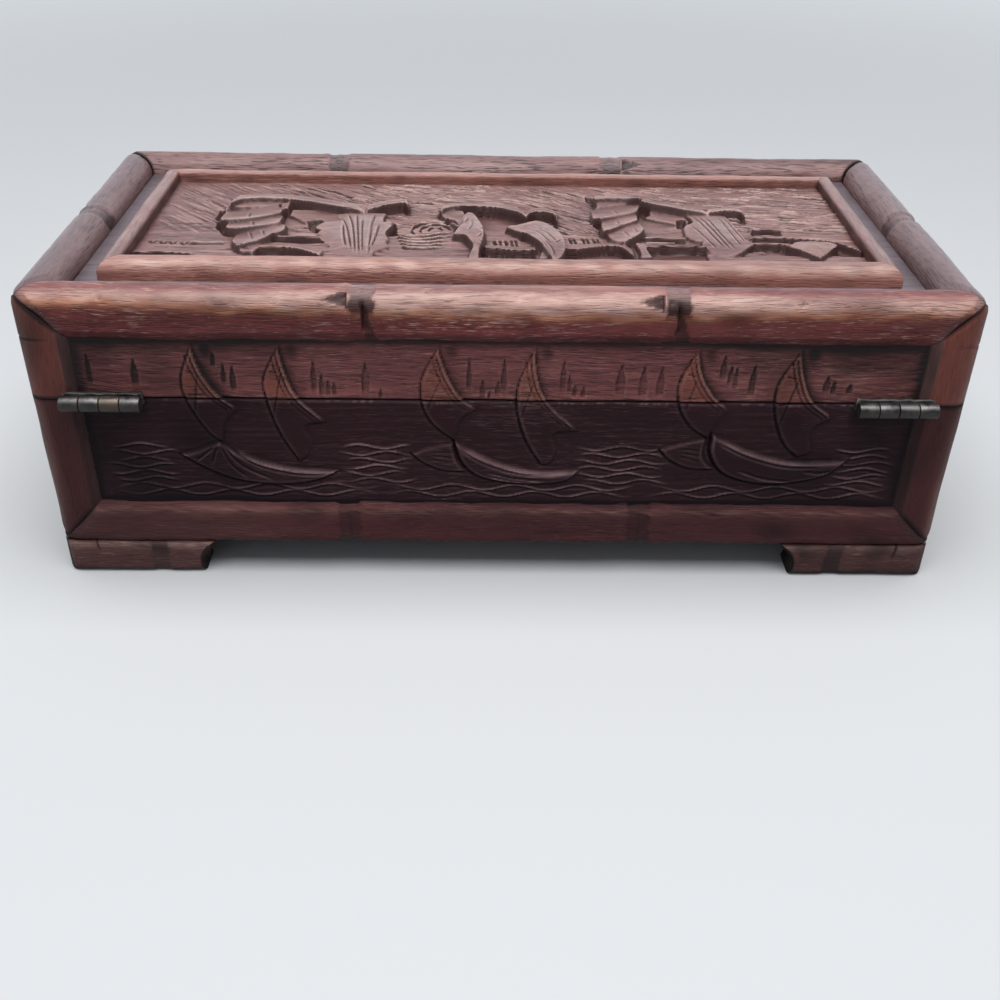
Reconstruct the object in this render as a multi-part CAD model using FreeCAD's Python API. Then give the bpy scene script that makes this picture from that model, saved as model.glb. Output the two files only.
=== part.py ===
import FreeCAD, Part
import math
import os

# Carved hardwood box with a hinged lid: bamboo-shaped frame, relief panels and bracket feet.
# Lengths are in millimetres, +Z is up, the front faces -Y and the hinges are at +Y.
# The origin is on the table, under the middle of the whole part, hinge barrels included.
# Left and right are as seen from the front, so left is towards -X.

# Closed box, without the hinge barrels
box_length = 280.0
box_depth = 134.0
box_height = 98.0
seam_height = 63.65
seam_gap = 0.3

# Frame of posts and rails, mitred three ways at each corner
frame_width = 15.5
wall_thickness = 12.0
edge_radius = 7.0
low_edge_radius = 2.5
shoulder_radius = 3.5
rail_inner_radius = 4.0

# Bamboo nodes carved round the rails and the feet
node_width = 8.0
node_depth = 0.6
long_node_from_middle = 45.0
foot_node_width = 6.0

# Wall panels and the tongues that hold them
panel_recess = 3.5
tongue_thickness = 3.0
tongue_length = 3.0
tongue_inset = 1.5
groove_side_clearance = 0.1
groove_end_clearance = 0.3

# Top panel with its raised border and sunk picture
gutter_drop = 6.0
gutter_end_width = 7.5
gutter_side_width = 10.0
top_panel_base = 6.0
top_panel_gap = 0.4
top_tongue_drop = 1.0
top_tongue_length = 4.0
border_width = 6.5
border_radius = 4.0
picture_depth = 3.7

# Bottom board, held in grooves of the bottom rails
board_thickness = 5.0
board_lift = 4.0
board_tongue_length = 4.0

# Bracket feet, two mitred strips at each corner
foot_height = 12.0
foot_thickness = 12.0
foot_long_length = 47.0
foot_short_length = 38.0
foot_low_radius = 2.0
foot_top_radius = 1.2
foot_node_from_tip = 16.0
cove_radius = 10.0
cove_centre_height = 4.5

# Butt hinges, let into the seam
hinge_length = 25.4
hinge_from_end = 21.75
knuckle_count = 4
knuckle_gap = 0.2
barrel_radius = 2.35
barrel_clearance = 0.3
pin_radius = 1.3
pin_clearance = 0.05
leaf_thickness = 1.2
leaf_depth = 9.0
leaf_clearance = 0.1

# Countersunk screws, two in each leaf
screw_from_hinge_middle = 9.0
screw_from_rear = 5.6
screw_radius = 1.1
screw_head_radius = 2.0
screw_length = 8.0
screw_tip_length = 2.0
screw_clearance = 0.05
fastener_sides = 10

# Brad through the rear right top mitre
brad_from_end = 8.6
brad_from_top = 5.0
brad_radius = 0.5
brad_length = 13.0
brad_head_radius = 0.9
brad_head_thickness = 0.5
brad_clearance = 0.05

# Sailing junks carved on the walls
wall_junk_length = 52.5
wall_junk_pitch = 75.0
wall_keel_rise = 6.3
wall_hull_relief = 1.5
wall_sail_relief = 1.1

# Sailing junks carved on the top
top_junk_length = 58.0
top_junk_pitch = 60.0
top_middle_junk_length = 44.0
top_hull_relief = 2.2
top_sail_relief = 2.9

# Corners of the junks' outlines, in hundredths of a junk's length, from its middle and its keel
wall_hull = [(-25, 30), (-6, 19), (20, 12), (50, 11), (34, 2), (8, 0), (-14, 6), (-22, 17)]
wall_quarter = [(-50, 20), (-38, 25), (-26, 27), (-21, 8), (-38, 11)]
wall_fore_sail = [(-24, 29), (-38, 44), (-42, 59), (-34, 88), (-25, 66), (-13, 52), (-21, 43)]
wall_main_sail = [(25, 16), (13, 38), (10, 54), (18, 87), (26, 61), (44, 41), (32, 35), (31, 16)]
top_hull = [(-42, 0), (-34, 10), (-24, 14), (-2, 4), (10, 12), (26, 14), (46, 3), (40, 0)]
top_fore_sail = [(-36, 8), (-48, 30), (-51, 54), (-50, 72), (-40, 80), (-29, 76), (-27, 40)]
top_main_sail = [(24, 6), (10, 24), (6, 44), (6, 64), (22, 70), (40, 64), (42, 34)]
top_yard = [(-50, 80), (-30, 100), (-6, 105), (24, 84), (48, 92), (42, 76), (26, 70), (0, 88), (-24, 88)]

# Places worked out from the sizes above
axis_behind_rear = barrel_radius + barrel_clearance
barrel_reach = axis_behind_rear + barrel_radius
middle_y = -barrel_reach / 2
rear_y = middle_y + box_depth / 2
front_y = middle_y - box_depth / 2
end_x = box_length / 2
hinge_axis_y = rear_y + axis_behind_rear
lid_floor = seam_height + seam_gap / 2
base_top = seam_height - seam_gap / 2
rail_top = foot_height + frame_width
rail_bottom = box_height - frame_width
hinge_middle_x = end_x - hinge_from_end
gutter_level = box_height - gutter_drop
margin = frame_width

up = FreeCAD.Vector(0, 0, 1)


class Wall:
    """One side of the box, with places given along it, in from its face, and in height."""

    def __init__(self, foot, right, inward, half):
        self.foot = foot
        self.right = right
        self.inward = inward
        self.half = half

    def point(self, along, depth, height):
        return self.foot + self.right * along + self.inward * depth + up * height

    def block(self, along, depth, height):
        first = self.point(along[0], depth[0], height[0])
        last = self.point(along[1], depth[1], height[1])
        return block_between(first, last)


def block_between(first, last):
    low = [min(a, b) for a, b in zip(first, last)]
    high = [max(a, b) for a, b in zip(first, last)]
    size = [b - a for a, b in zip(low, high)]
    return Part.makeBox(size[0], size[1], size[2], FreeCAD.Vector(*low))


def plan_block(half_x, half_y, low, high):
    first = FreeCAD.Vector(-half_x, middle_y - half_y, low)
    last = FreeCAD.Vector(half_x, middle_y + half_y, high)
    return block_between(first, last)


walls = {
    "front": Wall(FreeCAD.Vector(0, front_y, 0), FreeCAD.Vector(1, 0, 0), FreeCAD.Vector(0, 1, 0), end_x),
    "rear": Wall(FreeCAD.Vector(0, rear_y, 0), FreeCAD.Vector(-1, 0, 0), FreeCAD.Vector(0, -1, 0), end_x),
    "left": Wall(FreeCAD.Vector(-end_x, middle_y, 0), FreeCAD.Vector(0, -1, 0),
                 FreeCAD.Vector(1, 0, 0), box_depth / 2),
    "right": Wall(FreeCAD.Vector(end_x, middle_y, 0), FreeCAD.Vector(0, 1, 0),
                  FreeCAD.Vector(-1, 0, 0), box_depth / 2),
}
corners = {
    "front_left": (-1, -1),
    "front_right": (1, -1),
    "rear_left": (-1, 1),
    "rear_right": (1, 1),
}


def edges_at(shape, test):
    return [edge for edge in shape.Edges if test(edge.valueAt(sum(edge.ParameterRange) / 2))]


def near(a, b):
    return abs(a - b) < 1e-6


def round_edge(shape, radius, *middles):
    """Round the edges whose middles are given."""
    edges = edges_at(shape, lambda p: min(p.distanceToPoint(m) for m in middles) < 1e-6)
    return shape.makeFillet(radius, edges)


def plan_outline():
    """The whole box as a plain block with rounded uprights."""
    shape = plan_block(end_x, box_depth / 2, 0, box_height)
    return shape.makeFillet(edge_radius, edges_at(shape, lambda p: near(p.z, box_height / 2)))


def flat_face(corners):
    return Part.Face(Part.makePolygon(corners + corners[:1]))


def many_sided(first_radius, last_radius, start, along, length):
    """A small fastener's shank or head, with flat sides instead of a round one to keep it light."""
    side = FreeCAD.Vector(1, 0, 0)
    turns = [2 * math.pi * n / fastener_sides for n in range(fastener_sides)]
    spokes = [side * math.cos(turn) + along.cross(side) * math.sin(turn) for turn in turns]
    first = [start + spoke * first_radius for spoke in spokes]
    last = [start + along * length + spoke * last_radius for spoke in spokes]
    rings = [first, last]
    rings.extend([first[n - 1], first[n], last[n], last[n - 1]] for n in range(fastener_sides))
    return Part.makeSolid(Part.makeShell([flat_face(ring) for ring in rings]))


def mitre_waste(corner, along, across, through):
    """Prism that takes away what lies further across than along from a corner of the box."""
    reach = 3 * frame_width
    start = corner - through * margin
    triangle = [(-margin, -margin), (-margin, reach), (reach, reach)]
    face = flat_face([start + along * a + across * b for a, b in triangle])
    return face.extrude(through * (margin + reach))


def cut_all(shape, tools):
    for tool in tools:
        shape = shape.cut(tool)
    return shape


def rail_core(wall, outer_height, inner_height, outer_radius, inset):
    """What is left of a rail when its outer faces are taken back, running on past its inner faces."""
    into = 1 if inner_height > outer_height else -1
    height = (outer_height + into * inset, inner_height + into * margin)
    shape = wall.block((-wall.half, wall.half), (inset, wall_thickness + margin), height)
    return round_edge(shape, outer_radius - inset, wall.point(0, inset, height[0]))


def rail(wall, outer_height, inner_height, outer_radius, node_places):
    """A rail along one wall, from its outer edge height to the edge beside the panel."""
    shape = wall.block((-wall.half, wall.half), (0, wall_thickness), (outer_height, inner_height))
    shape = round_edge(shape, shoulder_radius, wall.point(0, 0, inner_height))
    if outer_height == box_height:
        shape = round_edge(shape, rail_inner_radius, wall.point(0, wall_thickness, outer_height))
    shape = shape.common(rail_core(wall, outer_height, inner_height, outer_radius, 0))
    into = up if inner_height > outer_height else -up
    for side in (-1, 1):
        corner = wall.point(side * wall.half, 0, outer_height)
        along = wall.right * -side
        shape = shape.cut(mitre_waste(corner, along, wall.inward, into))
        shape = shape.cut(mitre_waste(corner, along, into, wall.inward))
    shape = shape.common(plan_outline())
    core = rail_core(wall, outer_height, inner_height, outer_radius, node_depth)
    for place in node_places:
        span = (place - node_width / 2, place + node_width / 2)
        slab = wall.block(span, (-margin, wall_thickness), (outer_height - into.z * margin, inner_height))
        shape = shape.cut(slab.cut(core))
    return shape


def post(side_x, side_y, outer_height, seam_face):
    """A corner post from the seam to the mitre, notched flush with the walls inside."""
    face_y = rear_y if side_y > 0 else front_y
    corner = FreeCAD.Vector(side_x * end_x, face_y, outer_height)
    in_x = FreeCAD.Vector(-side_x, 0, 0)
    in_y = FreeCAD.Vector(0, -side_y, 0)
    into = up if seam_face > outer_height else -up
    rise = into * abs(seam_face - outer_height)
    shape = block_between(corner, corner + (in_x + in_y) * frame_width + rise)
    shoulders = [corner + inward * frame_width + rise * 0.5 for inward in (in_x, in_y)]
    shape = round_edge(shape, shoulder_radius, *shoulders)
    notch = corner + (in_x + in_y) * wall_thickness
    past = (in_x + in_y + into) * margin
    shape = shape.cut(block_between(notch - into * margin, notch + past + rise))
    shape = shape.cut(mitre_waste(corner, into, in_x, in_y))
    shape = shape.cut(mitre_waste(corner, into, in_y, in_x))
    return shape.common(plan_outline())


def tongue_block(wall, rail_edge, seam_face, side_clearance, end_clearance):
    """The panel's tongue round three sides, or the groove for it when clearances are given."""
    reach = wall.half - frame_width + tongue_length + end_clearance
    back = wall_thickness - tongue_inset
    depth = (back - tongue_thickness - side_clearance, back + side_clearance)
    into = 1 if rail_edge > seam_face else -1
    height = (rail_edge + into * (tongue_length + end_clearance), seam_face)
    return wall.block((-reach, reach), depth, height)


def wall_relief(wall, middles):
    """Raised junks on a wall, as solids rooted in the panel."""
    unit = wall_junk_length / 100
    keel = rail_top + wall_keel_rise
    root = (panel_recess + wall_thickness) / 2
    forms = [(wall_hull, wall_hull_relief), (wall_quarter, wall_sail_relief),
             (wall_fore_sail, wall_sail_relief), (wall_main_sail, wall_sail_relief)]
    solids = []
    for middle in middles:
        for outline, relief in forms:
            face = flat_face([wall.point(middle + u * unit, root, keel + v * unit) for u, v in outline])
            solids.append(face.extrude(wall.inward * (panel_recess - relief - root)))
    return solids


def wall_panel(wall, rail_edge, seam_face, relief):
    """A recessed wall panel with its tongue and carved junks."""
    reach = wall.half - frame_width
    shape = wall.block((-reach, reach), (panel_recess, wall_thickness), (rail_edge, seam_face))
    shape = shape.fuse(tongue_block(wall, rail_edge, seam_face, 0, 0))
    field = wall.block((-reach, reach), (0, wall_thickness), (rail_edge, seam_face))
    for solid in relief:
        carved = solid.common(field)
        if carved.Volume > 0:
            shape = shape.fuse(carved)
    return shape.removeSplitter()


def top_opening(grow):
    """Half sizes of the opening between the top rails, made larger by the given amount."""
    return end_x - wall_thickness + grow, box_depth / 2 - wall_thickness + grow


def top_tongue(side_clearance, end_clearance):
    half_x, half_y = top_opening(top_tongue_length + end_clearance)
    high = gutter_level - top_tongue_drop
    return plan_block(half_x, half_y, high - tongue_thickness - side_clearance, high + side_clearance)


def top_relief():
    """Raised junks of the top picture, the middle one smaller, rooted in the panel."""
    root = gutter_level - top_panel_base / 2
    floor = box_height - picture_depth
    opening_y = box_depth / 2 - wall_thickness - gutter_side_width - border_width
    forms = [(top_hull, top_hull_relief), (top_fore_sail, top_sail_relief),
             (top_main_sail, top_sail_relief), (top_yard, top_sail_relief)]
    lengths = [top_junk_length, top_middle_junk_length, top_junk_length]
    solids = []
    for place, length in zip((-1, 0, 1), lengths):
        unit = length / 100
        foot = FreeCAD.Vector(-place * top_junk_pitch, middle_y + opening_y, root)
        for outline, relief in forms:
            face = flat_face([foot - FreeCAD.Vector(u, v, 0) * unit for u, v in outline])
            solids.append(face.extrude(up * (floor + relief - root)))
    return solids


def top_panel():
    """The lid's top: a tongued board with a raised border round a sunk carved picture."""
    half_x, half_y = top_opening(-top_panel_gap)
    shape = plan_block(half_x, half_y, gutter_level - top_panel_base, gutter_level)
    shape = shape.fuse(top_tongue(0, 0))
    open_x, open_y = top_opening(0)
    raised_x = open_x - gutter_end_width
    raised_y = open_y - gutter_side_width
    raised = plan_block(raised_x, raised_y, gutter_level - top_panel_base / 2, box_height)
    raised = raised.makeFillet(border_radius, edges_at(raised, lambda p: near(p.z, box_height)))
    picture_x = raised_x - border_width
    picture_y = raised_y - border_width
    picture = plan_block(picture_x, picture_y, box_height - picture_depth, box_height + margin)
    shape = shape.fuse(raised).cut(picture)
    field = plan_block(picture_x, picture_y, gutter_level - top_panel_base, box_height)
    for solid in top_relief():
        shape = shape.fuse(solid.common(field))
    return shape.removeSplitter()


def board_slab(side_clearance, end_clearance):
    half_x, half_y = top_opening(board_tongue_length + end_clearance)
    low = foot_height + board_lift
    return plan_block(half_x, half_y, low - side_clearance, low + board_thickness + side_clearance)


def foot_strip(wall, side, length):
    """One strip of a bracket foot: mitred at the corner, with a hollow end and a bamboo node."""
    along = (side * wall.half, side * (wall.half - length))
    shape = wall.block(along, (0, foot_thickness), (0, foot_height))
    middle = side * (wall.half - length / 2)
    shape = round_edge(shape, foot_low_radius, wall.point(middle, 0, 0))
    shape = round_edge(shape, foot_top_radius, wall.point(middle, 0, foot_height))
    corner = wall.point(side * wall.half, 0, 0)
    shape = shape.cut(mitre_waste(corner, wall.right * -side, wall.inward, up))
    shape = shape.common(plan_outline())
    tip_to_centre = math.sqrt(cove_radius ** 2 - (foot_height - cove_centre_height) ** 2)
    centre = wall.point(side * (wall.half - length - tip_to_centre), -margin, cove_centre_height)
    shape = shape.cut(Part.makeCylinder(cove_radius, foot_thickness + 2 * margin, centre, wall.inward))
    node_place = side * (wall.half - length + foot_node_from_tip)
    node_span = (node_place - foot_node_width / 2, node_place + foot_node_width / 2)
    return shape.cut(wall.block(node_span, (-margin, node_depth), (0, foot_height)))


def hinge_span(middle_x, number):
    """The stretch of one knuckle along the hinge axis."""
    pitch = hinge_length / knuckle_count
    start = middle_x - hinge_length / 2 + number * pitch
    return start + knuckle_gap / 2, start + pitch - knuckle_gap / 2


def along_x(radius, first, last, y, z):
    return Part.makeCylinder(radius, last - first, FreeCAD.Vector(first, y, z), FreeCAD.Vector(1, 0, 0))


def leaf_plate(middle_x, turn, depth, clearance):
    """The flat of a leaf beside the seam; turn is 1 for the lid and -1 for the base."""
    half = hinge_length / 2 + clearance
    face = seam_height + turn * seam_gap / 2
    first = FreeCAD.Vector(middle_x - half, rear_y - depth - clearance, face)
    last = FreeCAD.Vector(middle_x + half, rear_y, face + turn * leaf_thickness)
    return block_between(first, last)


def screw_places(middle_x):
    return [middle_x - screw_from_hinge_middle, middle_x + screw_from_hinge_middle]


def screw(x, turn, clearance):
    """A countersunk screw driven away from the seam, or its hole when a clearance is given."""
    head = FreeCAD.Vector(x, rear_y - screw_from_rear, seam_height + turn * seam_gap / 2)
    away = up * turn
    sink = leaf_thickness
    shank = screw_length - sink - screw_tip_length
    radius = screw_radius + clearance
    shape = many_sided(screw_head_radius + clearance, radius, head, away, sink)
    shape = shape.fuse(many_sided(radius, radius, head + away * sink, away, shank))
    tip = many_sided(radius, radius / 3, head + away * (sink + shank), away, screw_tip_length)
    return shape.fuse(tip).removeSplitter()


def hinge_leaf(middle_x, turn):
    """A leaf with its alternate knuckles; the base takes the first knuckle and the lid the next."""
    shape = leaf_plate(middle_x, turn, leaf_depth, 0)
    first_number = 0 if turn < 0 else 1
    face = seam_height + turn * seam_gap / 2
    for number in range(first_number, knuckle_count, 2):
        first, last = hinge_span(middle_x, number)
        web_start = FreeCAD.Vector(first, rear_y, face)
        web_end = FreeCAD.Vector(last, hinge_axis_y, face + turn * leaf_thickness)
        shape = shape.fuse(block_between(web_start, web_end))
        shape = shape.fuse(along_x(barrel_radius, first, last, hinge_axis_y, seam_height))
    reach = hinge_length / 2 + margin
    bore = along_x(pin_radius + pin_clearance, middle_x - reach, middle_x + reach, hinge_axis_y, seam_height)
    shape = shape.cut(bore)
    return cut_all(shape, [screw(x, turn, screw_clearance) for x in screw_places(middle_x)]).removeSplitter()


def hinge_pin(middle_x):
    first = hinge_span(middle_x, 0)[0]
    last = hinge_span(middle_x, knuckle_count - 1)[1]
    return along_x(pin_radius, first, last, hinge_axis_y, seam_height)


def brad(clearance):
    """The brad through the rear rail's mitre into the right rail, or its hole."""
    drop = max(0, edge_radius - brad_from_top)
    surface = edge_radius - math.sqrt(edge_radius ** 2 - drop ** 2)
    start = walls["rear"].point(-(end_x - brad_from_end), surface, box_height - brad_from_top)
    inward = walls["rear"].inward
    head_radius = brad_head_radius + clearance
    head = many_sided(head_radius, head_radius, start, inward, brad_head_thickness)
    shank_radius = brad_radius + clearance
    shank = many_sided(shank_radius, shank_radius, start, inward, brad_length + clearance)
    return head.fuse(shank).removeSplitter()


def check_and_write(name, shape):
    if not shape.isValid():
        raise ValueError(name + " is not a valid solid")
    shape.exportStep("parts/" + name + ".step")


def frame_half(prefix, outer_height, inner_height, seam_face, outer_radius, cuts):
    """Posts, rails and wall panels of the lid or the base."""
    grooves = [tongue_block(wall, inner_height, seam_face, groove_side_clearance, groove_end_clearance)
               for wall in walls.values()]
    pieces = {}
    for name, wall in walls.items():
        long_wall = wall.half == end_x
        nodes = [-long_node_from_middle, long_node_from_middle] if long_wall else [0]
        pieces[prefix + "_rail_" + name] = rail(wall, outer_height, inner_height, outer_radius, nodes)
        middles = [-wall_junk_pitch, 0, wall_junk_pitch] if long_wall else [0]
        relief = wall_relief(wall, middles)
        pieces[prefix + "_panel_" + name] = wall_panel(wall, inner_height, seam_face, relief)
    for name, (side_x, side_y) in corners.items():
        pieces[prefix + "_post_" + name] = post(side_x, side_y, outer_height, seam_face)
    for name, shape in pieces.items():
        if "_panel_" not in name:
            shape = cut_all(shape, grooves)
        pieces[name] = cut_all(shape, cuts).removeSplitter()
    return pieces


def hinge_cuts(turn):
    """Leaf mortises and screw holes in the wood on one side of the seam."""
    cuts = []
    for middle_x in (-hinge_middle_x, hinge_middle_x):
        cuts.append(leaf_plate(middle_x, turn, leaf_depth, leaf_clearance))
        cuts.extend(screw(x, turn, screw_clearance) for x in screw_places(middle_x))
    return cuts


def build():
    lid_cuts = hinge_cuts(1)
    lid_cuts.append(top_tongue(groove_side_clearance, groove_end_clearance))
    lid_cuts.append(brad(brad_clearance))
    pieces = frame_half("lid", box_height, rail_bottom, lid_floor, edge_radius, lid_cuts)
    pieces["lid_top_panel"] = top_panel()
    pieces["lid_mitre_brad"] = brad(0)

    base_cuts = hinge_cuts(-1)
    base_cuts.append(board_slab(groove_side_clearance, groove_end_clearance))
    base_frame = frame_half("base", foot_height, rail_top, base_top, low_edge_radius, base_cuts)
    pieces.update(base_frame)
    pieces["bottom_board"] = board_slab(0, 0)

    for name, (side_x, side_y) in corners.items():
        long_wall = walls["rear"] if side_y > 0 else walls["front"]
        short_wall = walls["right"] if side_x > 0 else walls["left"]
        long_end = side_x * long_wall.right.x
        short_end = side_y * short_wall.right.y
        pieces["foot_" + name + "_long"] = foot_strip(long_wall, long_end, foot_long_length)
        pieces["foot_" + name + "_short"] = foot_strip(short_wall, short_end, foot_short_length)

    for name, middle_x in (("left", -hinge_middle_x), ("right", hinge_middle_x)):
        pieces["hinge_" + name + "_lid_leaf"] = hinge_leaf(middle_x, 1)
        pieces["hinge_" + name + "_base_leaf"] = hinge_leaf(middle_x, -1)
        pieces["hinge_" + name + "_pin"] = hinge_pin(middle_x)
    for name, turn in (("lid", 1), ("base", -1)):
        places = screw_places(-hinge_middle_x) + screw_places(hinge_middle_x)
        pieces[name + "_hinge_screws"] = Part.makeCompound([screw(x, turn, 0) for x in places])
    return pieces


os.makedirs("parts", exist_ok=True)
for piece_name, piece_shape in build().items():
    check_and_write(piece_name, piece_shape)
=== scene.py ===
import math
from contextlib import contextmanager
from functools import reduce
import bpy
import numpy as np
from mathutils import Matrix, Vector


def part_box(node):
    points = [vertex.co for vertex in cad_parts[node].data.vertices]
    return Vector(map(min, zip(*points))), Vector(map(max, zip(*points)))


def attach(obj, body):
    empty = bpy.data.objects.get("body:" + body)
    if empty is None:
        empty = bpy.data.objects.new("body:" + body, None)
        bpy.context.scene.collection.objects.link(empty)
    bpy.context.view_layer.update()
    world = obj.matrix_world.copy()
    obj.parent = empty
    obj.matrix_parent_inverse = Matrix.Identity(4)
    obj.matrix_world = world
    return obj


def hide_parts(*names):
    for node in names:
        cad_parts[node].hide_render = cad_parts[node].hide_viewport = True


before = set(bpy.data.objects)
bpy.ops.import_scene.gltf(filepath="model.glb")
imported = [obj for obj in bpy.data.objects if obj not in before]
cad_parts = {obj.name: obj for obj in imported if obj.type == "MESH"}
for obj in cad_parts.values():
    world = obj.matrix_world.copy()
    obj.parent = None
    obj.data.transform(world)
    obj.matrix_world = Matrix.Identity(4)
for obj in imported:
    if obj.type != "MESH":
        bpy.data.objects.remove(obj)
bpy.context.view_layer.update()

# The box is shaped in millimetres beside each wall, and set in the part's frame in metres.
MM = 0.001
HEIGHT = 98.0
REAR = 64.5
MIDDLE = -2.5
HALF_LENGTH = 140.0
HALF_DEPTH = 67.0
SEAM = 63.65
LID_FLOOR = 63.8
BASE_TOP = 63.5
RAIL_TOP = 27.5
RAIL_BOTTOM = 82.5
FOOT_TOP = 12.0
FOOT_LENGTHS = {"long": 49.0, "short": 40.0}
WALL = 12.0
FRAME = 15.5

# The panels lie behind the frame's face, whose members have a bevel beside them and rounded outer edges.
RECESS = 1.5
SHOULDER = 3.2
BEVEL_EDGE = 1.2
EDGE = 5.2
LOW_EDGE = 2.5
SHARP = 0.3
SHARPER = 0.2

# The picture on the top: half its length, its near and its far edge as seen from behind, and the levels round it.
PICTURE = (114.0, 28.5, 105.5)
BORDER = 6.5
BORDER_FOOT = 86.5
PICTURE_BACK = 91.0
BOARD_MIDDLE = 89.0
BOARD_SIZE = (255.4, 109.4, 6.0)

HINGES = {"left": -117.8, "right": 117.8}
HINGE_HALF = 11.9
AXIS = 67.15
KNUCKLE = 2 * HINGE_HALF / 4
KNUCKLE_RADIUS = 2.35
PIN_RADIUS = 1.3
SCREWS = (-126.8, -108.8, 108.8, 126.8)
SCREW_LINE = 58.9

# Distances between the points of the shaped pieces
SECTION_STEP = 0.8
BAR_STEP = 0.62
FOOT_STEP = 0.6
REAR_PANEL_STEP = 0.42
PANEL_STEP = 0.5
PICTURE_STEP = 0.36

# Room round a form that is worked on
MARGIN = 1.5


class Side:
    """One wall of the box: places along it as seen from outside, in from its face, and up."""

    def __init__(self, foot, right, inward, half, grain):
        self.foot = np.array(foot)
        self.right = np.array(right)
        self.inward = np.array(inward)
        self.half = half
        self.grain = grain

    def place(self, points):
        along, depth, height = np.asarray(points).T
        row = self.foot + np.outer(along, self.right) + np.outer(depth, self.inward)
        row[:, 2] += height
        return row * MM


sides = {
    "rear": Side((0, REAR, 0), (-1, 0, 0), (0, -1, 0), HALF_LENGTH, "x"),
    "front": Side((0, MIDDLE - HALF_DEPTH, 0), (1, 0, 0), (0, 1, 0), HALF_LENGTH, "x"),
    "left": Side((-HALF_LENGTH, MIDDLE, 0), (0, -1, 0), (1, 0, 0), HALF_DEPTH, "y"),
    "right": Side((HALF_LENGTH, MIDDLE, 0), (0, 1, 0), (-1, 0, 0), HALF_DEPTH, "y"),
}
corner_at_right_end = {"rear": "rear_left", "left": "front_left", "front": "front_right", "right": "rear_right"}
corner_at_left_end = {"rear": "rear_right", "left": "rear_left", "front": "front_left", "right": "front_right"}


# Small helpers for shaping

def unit(value):
    return np.clip(value, 0, 1)


def ease(value):
    """From 0 to 1 with a soft start and end."""
    value = unit(value)
    return value * value * (3 - 2 * value)


def bell(value, width):
    """1 at nought, falling away on both sides."""
    return np.exp(-(value / width) ** 2)


def most(*values):
    return reduce(np.maximum, values)


def wander(points, size, seed):
    """Smooth unevenness between about -1 and 1, with waves of about the given size."""
    chance = np.random.default_rng(seed)
    total = np.zeros(len(points))
    for _ in range(9):
        direction = chance.normal(size=points.shape[1])
        direction *= 2 * math.pi / (size * chance.uniform(0.7, 1.6)) / np.linalg.norm(direction)
        total += np.sin(points @ direction + chance.uniform(0, 2 * math.pi))
    return total / 4.5


def deselect():
    if bpy.context.object and bpy.context.object.mode != "OBJECT":
        bpy.ops.object.mode_set(mode="OBJECT")
    bpy.ops.object.select_all(action="DESELECT")


def take(piece):
    deselect()
    piece.select_set(True)
    bpy.context.view_layer.objects.active = piece


@contextmanager
def editing(piece):
    """Edit mode with all of a piece selected."""
    take(piece)
    bpy.ops.object.mode_set(mode="EDIT")
    bpy.ops.mesh.select_all(action="SELECT")
    yield
    bpy.ops.object.mode_set(mode="OBJECT")


def added(name):
    """The shape that was just added, with its place and size taken into its points."""
    piece = bpy.context.object
    piece.name = name
    bpy.ops.object.transform_apply(location=True, rotation=True, scale=True)
    return piece


def face_out(piece):
    with editing(piece):
        bpy.ops.mesh.normals_make_consistent(inside=False)


def points_of(piece):
    flat = np.empty(len(piece.data.vertices) * 3, np.float32)
    piece.data.vertices.foreach_get("co", flat)
    return flat.reshape(-1, 3).astype(float)


def move_points(piece, points):
    piece.data.vertices.foreach_set("co", np.asarray(points, np.float32).ravel())
    piece.data.update()


def edge_ends(piece):
    """Both ends of each edge."""
    edges = np.empty(len(piece.data.edges) * 2, np.int32)
    piece.data.edges.foreach_get("vertices", edges)
    return points_of(piece)[edges.reshape(-1, 2)]


def paint(piece, **layers):
    """Per-point layers that the materials read, such as grime, for soiling and painted shade, and wear, for pale
    abraded places and painted highlights.
    """
    for name, values in layers.items():
        layer = piece.data.attributes.get(name) or piece.data.attributes.new(name, "FLOAT", "POINT")
        layer.data.foreach_set("value", unit(values).astype(np.float32))


def shade(piece, angle):
    """Smooth shading, with a crease where faces meet at more than an angle."""
    take(piece)
    bpy.ops.object.shade_smooth_by_angle(angle=math.radians(angle))


def finish_piece(piece, body, nodes, material, angle=40):
    """Give a piece its finish, the body that it rides on and the nodes that it stands for."""
    shade(piece, angle)
    piece.data.materials.append(material)
    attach(piece, body)
    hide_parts(*nodes)


# Bars: rails, posts, feet and the border of the top are all bars with a rounded section

def rounded_section(corners, step):
    """Points round a polygon, each corner given as (p, q, radius)."""
    points = []
    count = len(corners)
    for n in range(count):
        here = np.array(corners[n][:2], float)
        before = np.array(corners[n - 1][:2], float) - here
        after = np.array(corners[(n + 1) % count][:2], float) - here
        before /= np.linalg.norm(before)
        after /= np.linalg.norm(after)
        radius = corners[n][2]
        if radius <= 0:
            points.append(here)
            continue
        half = math.acos(np.clip(before @ after, -1, 1)) / 2
        centre = here + (before + after) / np.linalg.norm(before + after) * radius / math.sin(half)
        start = here + before * radius / math.tan(half) - centre
        end = here + after * radius / math.tan(half) - centre
        turn = math.atan2(start[0] * end[1] - start[1] * end[0], start @ end)
        parts = max(3, round(abs(turn) * radius / step))
        for k in range(parts + 1):
            angle = turn * k / parts
            spin = np.array([[math.cos(angle), -math.sin(angle)], [math.sin(angle), math.cos(angle)]])
            points.append(centre + spin @ start)
    filled = []
    for n, here in enumerate(points):
        after = points[(n + 1) % len(points)]
        parts = max(1, round(np.linalg.norm(after - here) / step))
        filled.extend(here + (after - here) * k / parts for k in range(parts))
    return np.array(filled)


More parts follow.
